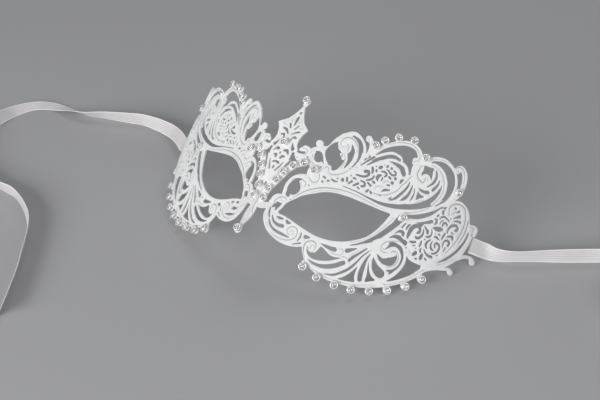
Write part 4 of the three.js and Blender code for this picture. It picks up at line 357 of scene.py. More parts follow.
# fine pierced tracery
TRACERY = [
    ([0.74, 1.2, 0.46], [(58.6, 49.8), (58.1, 49), (57.9, 47.8)]),
    ([1.11, 1.11, 0.56], [(43.5, 49.7), (44, 48.7), (44.2, 47.3)]),
    ([0.56], [(44.9, 51)]),
    ([0.65, 0.93], [(45.6, 49.6), (45.7, 48.9)]),
    ([1.29, 1.29], [(46.7, 51), (47.2, 51.6)]),
    ([0.37], [(48.2, 53.1)]),
    ([0.92, 0.74], [(49.8, 53.1), (49.6, 52.5)]),
    ([1.16], [(51.8, 52.7)]),
    ([0.37, 0.75, 0.84, 0.84, 0.83, 0.61, 0.79], [(49.9, 51.4), (51, 51.1), (52.3, 50.2), (53.6, 50), (54.5, 50.6), (54.4, 51.6), (53.5, 52)]),
    ([0.56, 0.84, 0.84, 0.83, 0.65], [(48, 49.7), (49.1, 50), (50.4, 49.6), (50.7, 48.7), (50.2, 48)]),
    ([0.65, 1.39, 1.39, 0.65], [(48.4, 48), (47.4, 47.2), (47.2, 46.2), (47.6, 45.2)]),
    ([0.55, 0.55], [(49.5, 47.1), (49.4, 45.8)]),
    ([1.03, 1.03], [(52.3, 48.5), (52.9, 48.2)]),
    ([1.3], [(55.1, 49)]),
    ([1.49], [(54.5, 46.6)]),
    ([0.7, 0.79], [(52.8, 44.8), (53.6, 45)]),
    ([0.37, 1.11, 0.65], [(51.4, 41.2), (52.5, 42.2), (54.4, 43)]),
    ([0.93, 1.02], [(46, 43.8), (46.7, 43.6)]),
    ([0.37, 0.92, 1.6, 1.23], [(65, 26.6), (66.5, 27.5), (67.7, 27.1), (68, 26.2)]),
    ([0.37, 1.01, 1.39, 0.75], [(62.9, 22.8), (64.5, 24.1), (65.9, 24.5), (66.9, 24)]),
    ([0.56, 1.39, 1.51, 0.95], [(68, 23.9), (69.4, 23.7), (70.6, 23.4), (70.7, 22.6)]),
    ([0.56, 0.65, 0.74], [(67.3, 31.6), (66.8, 30.5), (66.4, 29.3)]),
    ([0.37, 1.03, 0.75], [(69.6, 32), (68.9, 31.1), (68.5, 29.4)]),
    ([0.85, 1.61, 1.98, 1.86, 1.58, 1.34, 1.34, 0.84], [(70.4, 25.9), (70.4, 27.6), (70.6, 29.8), (71.4, 31.7), (72.8, 32.6), (74.4, 32.1), (74.8, 30.6), (74, 29.6)]),
    ([0.39, 0.87, 1.05, 1.12, 1.02, 0.57], [(76.2, 32.4), (76.7, 30.9), (76.5, 29.2), (75.4, 27.7), (74.3, 27.4), (73.8, 27.8)]),
    ([0.48, 0.96, 1.37, 1.18], [(76.2, 33.8), (77.4, 32.9), (78.5, 32.1), (78.6, 31.4)]),
    ([0.3, 0.7, 0.88, 0.84, 0.37], [(79.9, 33.7), (80.6, 32.5), (80.6, 31), (79.7, 29.9), (78.4, 29.6)]),
    ([0.37, 0.93, 1.54, 1.21], [(75.2, 34.8), (76.5, 35.7), (77.9, 36.7), (78.8, 37.3)]),
    ([0.57, 1.27, 1.18, 0.58], [(79.5, 38.8), (80.6, 38.6), (80.8, 37.5), (80.3, 36.5)]),
    ([0.46, 1.95, 2.14, 0.47], [(80.3, 34.7), (82, 34.9), (83.6, 35.3), (85.3, 35.8)]),
    ([0.42], [(82.4, 32.7)]),
    ([0.65, 0.7], [(84, 32.9), (84.7, 33)]),
    ([0.75, 1.04, 0.38], [(82.6, 31.2), (83.8, 31.2), (85.2, 30.6)]),
    ([1.01, 1.12, 0.41], [(86.9, 34.3), (86.5, 32.8), (86.3, 31.2)]),
    ([0.81, 0.86], [(80.1, 40.5), (80.6, 41.2)]),
    ([1.31, 1.31], [(82.1, 43.7), (82.3, 42.8)]),
    ([0.7], [(82.2, 45.7)]),
    ([0.48, 0.75, 0.84, 0.77, 0.59], [(81.7, 39.9), (82.4, 41), (83.8, 41.5), (85.2, 41.1), (86.6, 40.4)]),
    ([0.5, 0.49, 0.38], [(82.6, 37.7), (82.9, 39), (83.7, 39.8)]),
    ([1.01, 0.97, 1.03, 1.01, 0.41], [(84.2, 37.4), (84.3, 38.5), (85.2, 39.1), (86.2, 38.6), (86.4, 37.9)]),
    ([0.61], [(86.9, 41.8)]),
    ([0.57, 1.05], [(86.9, 47.3), (87.5, 47.2)]),
    ([0.48, 1.05, 0.76], [(88.6, 45.8), (89.4, 46.5), (89.9, 46.9)]),
    ([0.38, 1.05, 1.52], [(88.2, 42.7), (89.8, 43.9), (91, 44.7)]),
    ([0.37, 0.84, 1.13], [(88.8, 41.4), (90.6, 42.1), (92.4, 42.1)]),
    ([0.83, 1.03, 1.27, 1.22, 1.3, 1.49, 1.19], [(87.8, 35.4), (87.7, 37.1), (88.4, 38.7), (89.9, 39.8), (91.6, 39.7), (92.2, 38.6), (91.4, 37.7)]),
    ([0.67, 0.43], [(89.9, 36.1), (91.1, 35.8)]),
    ([0.47, 0.93, 1.4, 0.86], [(88.4, 33.5), (89.8, 34.2), (91.3, 34.2), (91.5, 33.1)]),
    ([0.47, 0.83, 0.78, 0.94, 1.16, 1.15], [(88.2, 28.2), (87.8, 29.8), (88.1, 31.2), (89.5, 31.9), (90.8, 31.2), (90.5, 29.9)]),
    ([0.83, 0.41], [(89.7, 28.2), (89.3, 26.5)]),
    ([0.75, 0.81, 0.93, 1.09, 1.14, 0.99, 0.66, 0.37], [(84.6, 26.7), (84, 27.6), (84.6, 28.7), (86.2, 28.3), (86.9, 27), (86.5, 25.1), (85.1, 23.7), (84, 23.3)]),
    ([0.4, 0.8, 1.09, 0.95, 0.37], [(82.4, 28.6), (82.2, 27.3), (82.6, 25.9), (83.6, 25.2), (84.5, 25.1)]),
    ([0.38, 0.97, 1.19, 0.59], [(81.3, 29.2), (80.2, 27.7), (79.9, 26.2), (80.9, 24.7)]),
    ([0.39, 0.77, 0.94, 1.12], [(79.9, 23.7), (81.3, 22.5), (83.2, 21.8), (84.9, 21.9)]),
    ([0.34, 0.34], [(87.4, 23.9), (86.8, 23.3)]),
    ([0.74, 1.02, 0.74], [(72.4, 24.7), (73.7, 24.9), (74.9, 25.5)]),
    ([0.32, 0.37], [(74.2, 23.3), (75.2, 23.9)]),
    ([0.68, 0.97, 0.58], [(77.4, 26.8), (77.4, 25.4), (77.3, 24.3)]),
    ([0.65], [(78.5, 28.2)]),
    ([0.59, 1.03, 0.78], [(78.3, 23.5), (78.4, 22.6), (78.7, 22.1)]),
    ([1.41, 1.69], [(76, 19.8), (76.7, 20.8)]),
    ([1.38, 1.77, 1.17], [(80, 21), (79.9, 19.9), (79.8, 19.1)]),
    ([0.46, 0.74], [(77.3, 18.2), (78.1, 18.4)]),
    ([0.75, 0.56], [(81.9, 19.9), (82.9, 19.7)]),
    ([0.65], [(71.6, 21.3)]),
    ([0.46], [(76, 22.7)]),
    ([1.1], [(8.3, 44), (9.8, 44), (11.3, 44.4)]),
    ([1.5, 1.2, 1.1, 0.9, 0.9, 0.6], [(41, 46.9), (42.5, 47.4), (42.9, 45.9), (41.4, 44.5), (39.6, 44.1), (37.7, 43.9)]),
    ([0.6, 0.9, 0.6], [(45.6, 46.4), (44.9, 44.6), (43, 43.3)]),
    ([0.6], [(35.6, 42.6)]),
    ([0.7, 0.8], [(37, 42), (38.1, 42)]),
    ([0.5, 0.9, 0.9, 0.9], [(40.6, 42.1), (42.5, 41.9), (43, 40.4), (41.8, 39.8)]),
    ([0.7, 1], [(44, 42.4), (45.6, 41.7)]),
    ([1, 0.6], [(39.9, 40.4), (38.2, 38.7)]),
    ([0.9, 0.5], [(36.9, 40.3), (35.8, 38.7)]),
    ([0.5, 1.1], [(45.4, 39.6), (44.9, 38.5)]),
    ([0.9, 0.6], [(46.6, 39), (47.2, 38.3)]),
    ([0.6, 0.6], [(40.2, 38.7), (41.2, 38.3)]),
    ([0.8, 0.8], [(24.1, 37.4), (24.9, 37.1)]),
    ([0.8], [(24.2, 35.1), (24.5, 35)]),
    ([0.8, 0.6], [(26.4, 36.3), (27, 36.5)]),
    ([0.7, 0.7, 0.5], [(28, 37.6), (29.2, 37.3), (30.6, 37.6)]),
    ([0.6], [(30.3, 39)]),
    ([1.3], [(32.6, 39.5), (32.7, 39.1)]),
    ([0.9, 0.8], [(34.3, 40.9), (34.8, 39.5)]),
    ([0.7], [(13.7, 43.1)]),
    ([0.5], [(9, 41.3)]),
    ([0.6], [(21.1, 41)]),
    ([0.6], [(19.2, 31.1)]),
    ([0.4], [(13.7, 21.8)]),
    ([1.1, 1.1], [(0, 62.2), (0, 61.6)]),
    ([1, 1.5, 1.2, 0.5], [(0, 59.8), (0, 58.8), (0, 57.3), (0, 55.2)]),
    ([1, 0.7], [(2.3, 55.5), (1.3, 53.6)]),
    ([1.1, 1.15, 0.9, 0.4], [(4.3, 52.7), (2.9, 52.3), (1.9, 51.5), (0.9, 50.4)]),
    ([0.9, 1.05, 0.7, 0.4], [(4.1, 49.4), (3, 49.8), (2.1, 48.3), (2, 47)]),
    ([0.4, 1.1, 1.8], [(3.7, 46.6), (4.4, 45.2), (5.1, 44.1)]),
    ([1.5, 1.5, 0.4], [(6.3, 42.1), (6.4, 40.6), (5.8, 38.9)]),
    ([1.2, 1.4, 1.05, 0.5], [(1.6, 42.3), (2.6, 42.6), (3.4, 41.9), (4.1, 41)]),
    ([0.85, 0.85], [(0, 40.9), (0, 40.4)]),
    ([0.95, 1.25, 0.8], [(1.3, 38.2), (1.7, 39.3), (2.8, 39.3)]),
    ([1.2, 0.8, 1.2], [(1.35, 35.8), (0, 36.2), (-1.35, 35.8)]),
    ([0.95, 0.75], [(0, 33.7), (0, 32.6)]),
    ([0.4, 0.75, 0.72], [(3.6, 36.7), (2.8, 34.4), (1.6, 31.9)]),
    ([1, 0.8], [(0, 25.1), (0, 23.9)]),
]
GROOVES = [
    ([0.4, 0.6, 0.7, 0.7, 0.7, 0.4], [(7.6, 17.1), (7.55, 18.5), (8, 19.8), (8.9, 21), (10.2, 21.65), (11.6, 21.6), (12.4, 20.9)]),
    ([0.35, 0.35], [(9.5, 19.6), (10.3, 20.3), (11.4, 20)]),
    ([0.3, 0.5, 0.6, 0.6, 0.6, 0.6, 0.7, 0.7, 0.6, 0.5, 0.4], [(11.7, 4.2), (13.3, 3.75), (15.2, 3.45), (17.1, 3.55), (18.8, 3.75), (20.2, 4.35), (21.4, 5.2), (22.3, 6.4), (22.6, 7.7), (22.4, 9.1), (21.7, 10.2), (20.7, 10.8), (19.5, 10.7), (18.5, 10.1), (17.9, 9.1), (17.8, 8), (18.2, 7.1), (19.2, 6.7)]),
    ([0.35, 0.35], [(19.3, 8.2), (19.9, 9), (20.8, 8.8), (21, 7.9), (20.4, 7.4)]),
    ([0.3, 0.6, 0.8, 0.8, 0.7, 0.8, 0.8, 0.6, 0.4], [(29.6, 0.05), (28.6, 1.2), (27.95, 2.6), (27.6, 4.3), (27.7, 5.8), (28.3, 6.8), (29.3, 7.6), (30.6, 7.95), (31.95, 7.6), (32.7, 6.6), (32.8, 5.5), (32.4, 4.6)]),
    ([0.45, 0.45], [(31.9, 6.2), (31, 6), (30.6, 5.2), (30.9, 4.4)]),
    ([0.6, 0.6, 0.4, 0.35, 0.5, 0.5, 0.3], [(43.6, 9.3), (44.45, 9.6), (45.1, 9.1), (45.4, 7.9), (44.8, 6.95), (43.6, 6.4), (42.4, 6.1), (40.5, 6.3)]),
    ([0.3, 0.35, 0.35, 0.3], [(47, 14.1), (48.9, 15.2), (51, 16.5), (52.6, 17.9), (54.3, 19.8), (55.8, 21.6), (57.5, 24.3), (58.6, 26.2), (59.6, 28.2), (60.5, 30), (61.4, 31.9)]),
    ([0.3, 0.35], [(48.6, 8.3), (50.05, 9.7), (51.6, 11.9)]),
    ([0.5, 0.6], [(46.1, 6.5), (47, 6.7), (47.7, 6.6)]),
    ([0.3, 0.4, 0.4, 0.45, 0.4, 0.35, 0.3], [(29.7, -0.4), (30.4, -1.9), (32, -2.95), (34.8, -4), (37.2, -4.3), (40.3, -4.85), (43.4, -5.25), (46.5, -5.05), (49.8, -4.8), (52.8, -4.1), (55.9, -3.25), (58.5, -2.4), (61.4, -1.2), (64.5, 0.1)]),
    ([0.3, 0.35, 0.35, 0.4], [(68.6, 1.9), (70.5, 2.7), (72.7, 4), (75.3, 5.7), (77.4, 7.6), (79.2, 9.6), (81.2, 12.2), (82.9, 14.3)]),
    ([0.45, 0.65, 0.75, 0.8, 0.8, 0.75, 0.6, 0.5, 0.4, 0.3], [(14.3, 22.6), (15.5, 24.2), (16.9, 26), (18.4, 27.7), (20.2, 29.2), (22.1, 30.5), (24.1, 31.7), (26.2, 32.7), (28.1, 33.4), (30, 33.9), (32.1, 34.4), (34.2, 34.75), (36.4, 35), (38.6, 35.1), (41, 35.05), (43.7, 34.9), (46.5, 34.6), (49.5, 34.25), (52.5, 34), (55.5, 33.85)]),
    ([0.3, 0.35, 0.3], [(21.6, 28.6), (24.2, 30.3), (27, 31.7), (30, 32.8), (33, 33.5)]),
    ([0.4, 0.6, 0.6, 0.5, 0.5], [(18.5, 34.3), (19.4, 33.5), (20.6, 33.25), (21.8, 33.8), (22.4, 35), (22.3, 36.6), (21.8, 38)]),
    ([0.4, 0.55, 0.6, 0.6, 0.5], [(11.2, 30.8), (12.4, 31.85), (14.2, 32.4), (15.7, 32.45), (17.1, 32), (17.8, 31), (17.6, 29.9)]),
    ([0.45, 0.4], [(15.4, 31), (15.8, 30.2), (16.6, 29.7)]),
    ([0.5, 0.6, 0.55, 0.45, 0.4], [(10.2, 46.1), (10.9, 46.5), (11.9, 46.4), (12.6, 45.7), (12.6, 44.5), (12.1, 43.6), (11.4, 43.1)]),
    ([0.6, 0.55], [(15.5, 44.9), (15.75, 44.1)]),
    ([0.35, 0.4], [(15.3, 47.3), (14.6, 46.4), (14.3, 45.3)]),
    ([0.4, 0.6, 0.6, 0.4, 0.6, 0.7, 0.6, 0.5], [(23, 41.2), (23.5, 42.05), (24.3, 42.3), (24.95, 41.7), (25.3, 40.6), (26.2, 39.85), (27.6, 39.85), (29, 40.4), (30.5, 41.2), (31.8, 42.2), (33, 43.6)]),
    ([0.5, 0.5], [(17.2, 41.3), (18.2, 41.1)]),
    ([0.4, 0.5, 0.5, 0.4], [(48.2, 41.4), (48.4, 42.4), (49.3, 43), (50.5, 43.4)]),
    ([0.45, 0.55, 0.6, 0.6, 0.65, 0.65, 0.6, 0.6, 0.6, 0.5], [(50.4, 39.5), (51.8, 39.55), (53.2, 40), (54.4, 40.8), (55.6, 41.8), (56.7, 42.8), (57.7, 44), (58.4, 45.3), (58.9, 46.7), (59.6, 48.1), (60.4, 49.5), (61, 51.3), (61.7, 52.8)]),
    ([0.4, 0.55, 0.5], [(50.8, 45), (51, 46), (51.9, 46.6), (53, 46.45)]),
    ([0.35, 0.6, 0.75, 0.75, 0.7, 0.6, 0.5, 0.3], [(25.7, 55.4), (25.85, 56.6), (26.4, 57.6), (27.5, 58.4), (28.9, 58.8), (30.2, 58.65), (31.6, 58.15), (32.6, 57.35), (33.6, 56.2), (34.3, 55), (34.8, 53.8)]),
    ([0.45, 0.55, 0.45], [(28.5, 55.7), (29.4, 55.3), (29.95, 54.3), (29.8, 53.2)]),
    ([0.35, 0.4, 0.35], [(25.9, 54.7), (26.6, 54), (27.7, 53.8), (28.4, 54.3)]),
    ([0.75, 0.75], [(28.3, 49.55), (28.35, 49.1)]),
    ([0.35, 0.4, 0.4, 0.3], [(29.1, 50.5), (30, 49.4), (30.45, 47.9), (30.4, 46), (30, 44.2)]),
    ([0.35, 0.35], [(36.6, 61.4), (37.3, 61.2), (37.8, 60.4), (38.1, 59)]),
    ([0.45, 0.45], [(37.55, 50.3), (37.65, 50)]),
    ([0.45, 0.45], [(37.05, 47.15), (37.2, 46.95)]),
    ([0.5, 0.35], [(34.35, 46.6), (34.1, 45.8)]),
    ([0.5, 0.75, 0.75, 0.7, 0.7, 0.75, 0.8, 0.6], [(64.1, 58.2), (63.9, 57), (63.8, 55.8), (64, 54.6), (64.6, 53.6), (65.7, 52.8), (66.8, 52.3), (67.8, 52.1)]),
    ([0.6, 0.55, 0.45], [(67.9, 52.4), (68.25, 53.5), (68.2, 54.7)]),
    ([0.45, 0.45], [(69.5, 54), (69.2, 54.8)]),
    ([0.3, 0.5, 0.6, 0.6, 0.65, 0.65, 0.6, 0.55, 0.55, 0.5, 0.5, 0.4], [(48, 63.5), (49.5, 64.6), (51.2, 65.55), (53, 66.1), (55, 66.45), (56.7, 66.5), (58.3, 66.05), (59.8, 65.25), (61, 64.25), (61.9, 63), (62.35, 61.7), (62.1, 60.75), (61.1, 60.4), (60.4, 59.6)]),
    ([0.3, 0.35, 0.3], [(68.2, 63.9), (70, 64.7), (72, 65.35), (73.8, 65.6), (75.6, 65.5)]),
    ([0.35, 0.4, 0.45, 0.45, 0.4, 0.4, 0.45, 0.45, 0.4, 0.35], [(68.8, 61.3), (70.6, 61.2), (72.4, 60.8), (73.9, 60.1), (75.2, 59.1), (76.5, 57.4), (77.5, 55.4), (78.15, 53.4), (78.35, 51.3), (78.1, 49.6), (77.5, 47.9), (76.6, 45.9), (75.4, 43.6), (73.9, 41.6), (72, 39.9), (69.9, 38.5), (67.8, 37.3), (65.4, 36.2)]),
    ([0.35, 0.35], [(68, 42.4), (69.5, 43.6), (71.2, 44.9)]),
    ([0.5, 0.7, 0.65, 0.6, 0.5, 0.4, 0.3], [(80.35, 64.3), (80.7, 65.3), (81.7, 65.65), (82.8, 65.65), (83.8, 65.1), (84.7, 64.2), (85.5, 62.7), (86.1, 61.2), (86.4, 59.4)]),
    ([0.5, 0.45], [(81.1, 64.5), (81.6, 63.6)]),
    ([0.4, 0.7, 0.8, 0.8, 0.85, 0.85, 0.8, 0.7, 0.8, 0.8, 0.8, 0.8, 0.7, 0.6, 0.5, 0.3], [(85.6, 43), (84.8, 44.4), (84.35, 45.8), (84.5, 47), (85.1, 48.1), (86, 48.95), (87.3, 49.5), (88.9, 49.75), (90.5, 49.45), (91.8, 48.8), (92.6, 47.9), (93.2, 46.7), (93.9, 45.2), (94.4, 43.5), (94.65, 41.3), (94.65, 39), (94.5, 37), (94.2, 35.2), (93.7, 33.1), (93.1, 31.2), (92.4, 29.4), (91.5, 27.5), (90.5, 26)]),
    ([0.5, 0.55, 0.4], [(87.8, 45.4), (87.2, 44.6), (86.4, 44.1)]),
    ([0.35, 0.4, 0.35], [(98.4, 41.9), (99.4, 42.5), (100.6, 42), (100.9, 40.9)]),
    ([0.3, 0.35, 0.3], [(88.9, 19.6), (91.5, 21.1), (94.3, 23.3), (96.8, 25.5)]),
    ([0.3, 0.35, 0.3], [(101, 27.2), (102.5, 28), (104.2, 28.2)]),
    ([0.3, 0.5, 0.55, 0.6, 0.65, 0.6, 0.55, 0.5, 0.6, 0.65, 0.4], [(68.5, 22.9), (66.7, 22.5), (65, 21.9), (63.3, 21.1), (62, 20.3), (61.2, 19.2), (60.8, 17.8), (60.8, 16.4), (61.5, 15.5), (62.9, 15.5), (64.3, 15.9)]),
    ([0.6, 0.6], [(61.75, 16.7), (61.8, 16.5)]),
    ([0.5, 0.65, 0.65, 0.5, 0.55, 0.6, 0.65, 0.6, 0.5, 0.3], [(66, 16.8), (66.5, 17.45), (67.5, 17.75), (68.8, 17.4), (69.7, 16.4), (70.1, 15), (70.05, 13.5), (69.7, 12.1), (68.8, 11), (67.6, 10.1), (66.2, 9.4)]),
    ([0.45, 0.4], [(56.95, 14.3), (56.4, 13.2)]),
    ([0.4, 0.4], [(72.4, 19), (72.5, 18.8)]),
    ([0.4, 0.4], [(74, 20.2), (74.1, 20)]),
    ([0.3, 0.35, 0.3], [(1.9, 60), (2.6, 58.5), (3.7, 56.9), (4.9, 55.6), (6.2, 54.6)]),
    ([0.7, 0.7], [(2.05, 57.5), (2.1, 56.9)]),
    ([0.5, 0.55], [(3.8, 54.4), (5, 54.6)]),
    ([0.4, 0.45, 0.4], [(0.35, 12.2), (1.3, 9.6), (2, 8.1), (1.2, 6.2), (0.35, 4.6)]),
]
LEAF = [(0, 67.6), (0.9, 64.4), (2.2, 61.3), (4.4, 57.7), (8.6, 54.7), (6.9, 52), (6.1, 48.8), (6.5, 46.2), (7.8, 44.4), (7.4, 41.6), (6.2, 38.6), (4.8, 35.4), (3.2, 31.6), (0, 30)]
FAN_PLATE = [(28.2, 2.5), (28.7, 4.2), (32.1, 3.1), (33.9, 6.1), (34.4, 8.5), (41.8, 10), (48.2, 12.4), (54.1, 15.2), (57.2, 16.2), (60.8, 14.7), (62.7, 12.5), (65.9, 10.1), (67.2, 7.4), (68.4, 4.4), (66, 1.7), (60.6, -1.2), (55.4, -3.1), (49.9, -4.2), (43.6, -4.6), (36.9, -3.8), (32.1, -1.6)]
SIDE_STONES = {
    "rim1": (30.2, -4.8),
    "rim2": (38, -7),
    "rim3": (46.8, -7.2),
    "rim4": (54.7, -6.3),
    "rim5": (62.7, -3.8),
    "rim6": (70.3, -0.4),
    "rim7": (77.5, 4.5),
    "rim8": (83.9, 10.4),
    "top1": (41, 59.7),
    "top2": (44.2, 63.4),
    "top3": (49.5, 67.2),
    "top4": (56.7, 68.6),
    "top5": (64.6, 63.2),
    "side": (85.2, 54.4),
    "corner": (64.9, 33.6),
    "brow": (18.6, 38.6),
    "nose1": (2.1, 18),
    "nose2": (2.4, 22.8),
    "nose3": (4.2, 27.8),
    "nose4": (6, 32.4),
    "nose5": (9, 36.8),
    "nose6": (13.1, 39.9),
}
CENTRE_STONES = {
    "spade_tip": (0, 68.4),
    "spade_mid": (0, 45.6),
    "nose_tip": (0, 0),
}


# ---------------------------------------------------------------- the pierced sheet, right half, flat
NU = int(round(REACH / CELL)) + 1
NV = int(round((HIGH - LOW) / CELL)) + 1
U = np.arange(NU) * CELL
V = LOW + np.arange(NV) * CELL


def window(lo_u, hi_u, lo_v, hi_v):
    i0, i1 = max(0, int(math.ceil(lo_u / CELL))), min(NU, int(math.floor(hi_u / CELL)) + 1)
    j0, j1 = max(0, int(math.ceil((lo_v - LOW) / CELL))), min(NV, int(math.floor((hi_v - LOW) / CELL)) + 1)
    return i0, max(i1, i0), j0, max(j1, j0)


def add_line(field, line, half):
    for (au, av), (bu, bv), ra, rb in zip(line[:-1], line[1:], half[:-1], half[1:]):
        r = max(ra, rb) + 1.5
        i0, i1, j0, j1 = window(min(au, bu) - r, max(au, bu) + r, min(av, bv) - r, max(av, bv) + r)
        if i1 == i0 or j1 == j0:
            continue
        u, v = U[None, i0:i1], V[j0:j1, None]
        du, dv = bu - au, bv - av
        t = np.clip(((u - au) * du + (v - av) * dv) / max(du * du + dv * dv, 1e-12), 0, 1)
        d = np.hypot(u - au - t * du, v - av - t * dv) - (ra + (rb - ra) * t)
        field[j0:j1, i0:i1] = np.minimum(field[j0:j1, i0:i1], d)


def add_stroke(field, widths, points, more=0.0):
    line, where = spline(points, 8)
    widths = np.atleast_1d(np.array(widths, float)) + more
    half = np.interp(where, np.linspace(0, 1, len(widths)), widths) / 2 if len(widths) > 1 else np.full(len(line), widths[0] / 2)
    add_line(field, line, half)


def add_area(field, outline):
    outline = np.array(outline, float)
    i0, i1, j0, j1 = window(outline[:, 0].min() - 1.5, outline[:, 0].max() + 1.5, outline[:, 1].min() - 1.5, outline[:, 1].max() + 1.5)
    u, v = np.meshgrid(U[i0:i1], V[j0:j1])
    d = np.full(u.shape, 9.0)
    inside = np.zeros(u.shape, bool)
    for (au, av), (bu, bv) in zip(outline, np.roll(outline, -1, 0)):
        du, dv = bu - au, bv - av
        t = np.clip(((u - au) * du + (v - av) * dv) / (du * du + dv * dv + 1e-12), 0, 1)
        d = np.minimum(d, np.hypot(u - au - t * du, v - av - t * dv))
        if av != bv:
            inside ^= ((av > v) != (bv > v)) & (u < (bu - au) * (v - av) / (bv - av) + au)
    field[j0:j1, i0:i1] = np.minimum(field[j0:j1, i0:i1], np.where(inside, -d, d))


def sample(field, u, v):
    a = np.clip(np.asarray(u, float) / CELL, 0, NU - 1.001)
    b = np.clip((np.asarray(v, float) - LOW) / CELL, 0, NV - 1.001)
    i, j = a.astype(int), b.astype(int)
    s, t = a - i, b - j
    return (
        field[j, i] * (1 - s) * (1 - t)
        + field[j, i + 1] * s * (1 - t)
        + field[j + 1, i] * (1 - s) * t
        + field[j + 1, i + 1] * s * t
    )


metal = np.full((NV, NU), 5.0)
cut = np.full((NV, NU), 5.0)
for widths, points in BANDS:
    add_stroke(metal, widths, points, 0.1)
add_area(metal, FAN_PLATE)
add_area(metal, LEAF + [(-u, v) for u, v in LEAF[::-1]])
for points in OPENINGS:
    add_area(cut, spline(points, 8, True)[0])
for widths, points in SLOTS:
    add_stroke(cut, widths, points, 0.14)
for widths, points in TRACERY:
    add_stroke(cut, widths, points, 0.2)
pads = np.full((NV, NU), 5.0)
for u, v in list(SIDE_STONES.values()) + list(CENTRE_STONES.values()):
    d = float(sample(metal, max(u, 0.5), v))
    gu = 0.0 if u < 0.1 else float(sample(metal, u + 0.3, v) - sample(metal, u - 0.3, v))
    gv = float(sample(metal, u, v + 0.3) - sample(metal, u, v - 0.3))
    g = math.hypot(gu, gv) or 1.0
    reach = max(0.0, d + 1)
    add_line(pads, np.array([(u, v), (u - gu / g * reach - 0.001, v - gv / g * reach)]), [PAD_R, 1.1])
field = np.minimum(np.maximum(metal, -cut), pads)
del metal, cut
engraved = np.zeros((NV, NU))  # how deep the engraved lines are
grooves = []
for widths, points in GROOVES:
    line, where = spline(points, 8)
    half = np.interp(where, np.linspace(0, 1, len(widths)), widths) / 2
    grooves.append((line, half))
    for (au, av), (bu, bv), ra, rb in zip(line[:-1], line[1:], half[:-1], half[1:]):
        r = max(ra, rb) + 0.1
        i0, i1, j0, j1 = window(min(au, bu) - r, max(au, bu) + r, min(av, bv) - r, max(av, bv) + r)
        if i1 == i0 or j1 == j0:
            continue
        u, v = U[None, i0:i1], V[j0:j1, None]
        du, dv = bu - au, bv - av
        t = np.clip(((u - au) * du + (v - av) * dv) / max(du * du + dv * dv, 1e-12), 0, 1)
        near = ra + (rb - ra) * t
        across = np.clip(np.hypot(u - au - t * du, v - av - t * dv) / near, 0, 1)
        cut_in = (0.06 + 0.62 * near) * (0.5 + 0.5 * np.cos(math.pi * across))
        engraved[j0:j1, i0:i1] = np.maximum(engraved[j0:j1, i0:i1], cut_in)


def contours(level):
    """Lines where the field passes through the level, over the right half: closed loops, and lines that end on u = 0."""
    f = field - level
    inside = f < 0
    case = (
        inside[:-1, :-1] * 1 + inside[:-1, 1:] * 2 + inside[1:, 1:] * 4 + inside[1:, :-1] * 8
    )
    js, is_ = np.nonzero((case > 0) & (case < 15))
    places, follow = {}, {}

    def edge(i, j, across):
        key = (i, j, across)
        if key not in places:
            k, l = (i + 1, j) if across else (i, j + 1)
            a, b = f[j, i], f[l, k]
            t = min(0.97, max(0.03, a / (a - b)))
            places[key] = ((i + (k - i) * t) * CELL, LOW + (j + (l - j) * t) * CELL)
        return key

    steps = {
        1: ((0, 3),), 2: ((1, 0),), 3: ((1, 3),), 4: ((2, 1),), 5: ((0, 3), (2, 1)), 6: ((2, 0),), 7: ((2, 3),),
        8: ((3, 2),), 9: ((0, 2),), 10: ((1, 0), (3, 2)), 11: ((1, 2),), 12: ((3, 1),), 13: ((0, 1),), 14: ((3, 0),),
    }
    for i, j in zip(is_.tolist(), js.tolist()):
        sides = ((i, j, True), (i + 1, j, False), (i, j + 1, True), (i, j, False))
        for a, b in steps[int(case[j, i])]:
            follow[edge(*sides[a])] = edge(*sides[b])
    reached = set(follow.values())
    starts = [k for k in follow if k not in reached]
    left = set(follow)
    lines = []
    for first in starts:
        line, k = [], first
        while k in left:
            left.discard(k)
            line.append(places[k])
            k = follow[k]
        line.append(places[k])
        lines.append((np.array(line), False))
    while left:
        k = next(iter(left))
        line = []
        while k in left:
            left.discard(k)
            line.append(places[k])
            k = follow[k]
        lines.append((np.array(line), True))
    return lines


def thin(line, closed, tolerance, longest):
    """Fewer points on a line, none further than the tolerance from it."""
    if closed:
        far = int(np.argmax(np.linalg.norm(line - line[0], axis=1)))
        whole = np.vstack([line, line[:1]])
        spans = [(0, far), (far, len(line))]
    else:
        whole, spans = line, [(0, len(line) - 1)]
    keep = []
    stack = spans[::-1]
    while stack:
        i, j = stack.pop()
        a, b = whole[i], whole[j]
        if j - i < 2:
            keep.append(i)
            continue
        ab = b - a
        size = float(ab @ ab)
        t = np.clip(((whole[i + 1 : j] - a) @ ab) / max(size, 1e-12), 0, 1)
        d = np.linalg.norm(whole[i + 1 : j] - a - t[:, None] * ab, axis=1)
        k = int(np.argmax(d))
        if d[k] <= tolerance:
            if size <= longest * longest:
                keep.append(i)
                continue
            k = (j - i) // 2 - 1
        stack += [(i + 1 + k, j), (i, i + 1 + k)]
    if not closed:
        keep.append(len(line) - 1)
    return whole[keep]


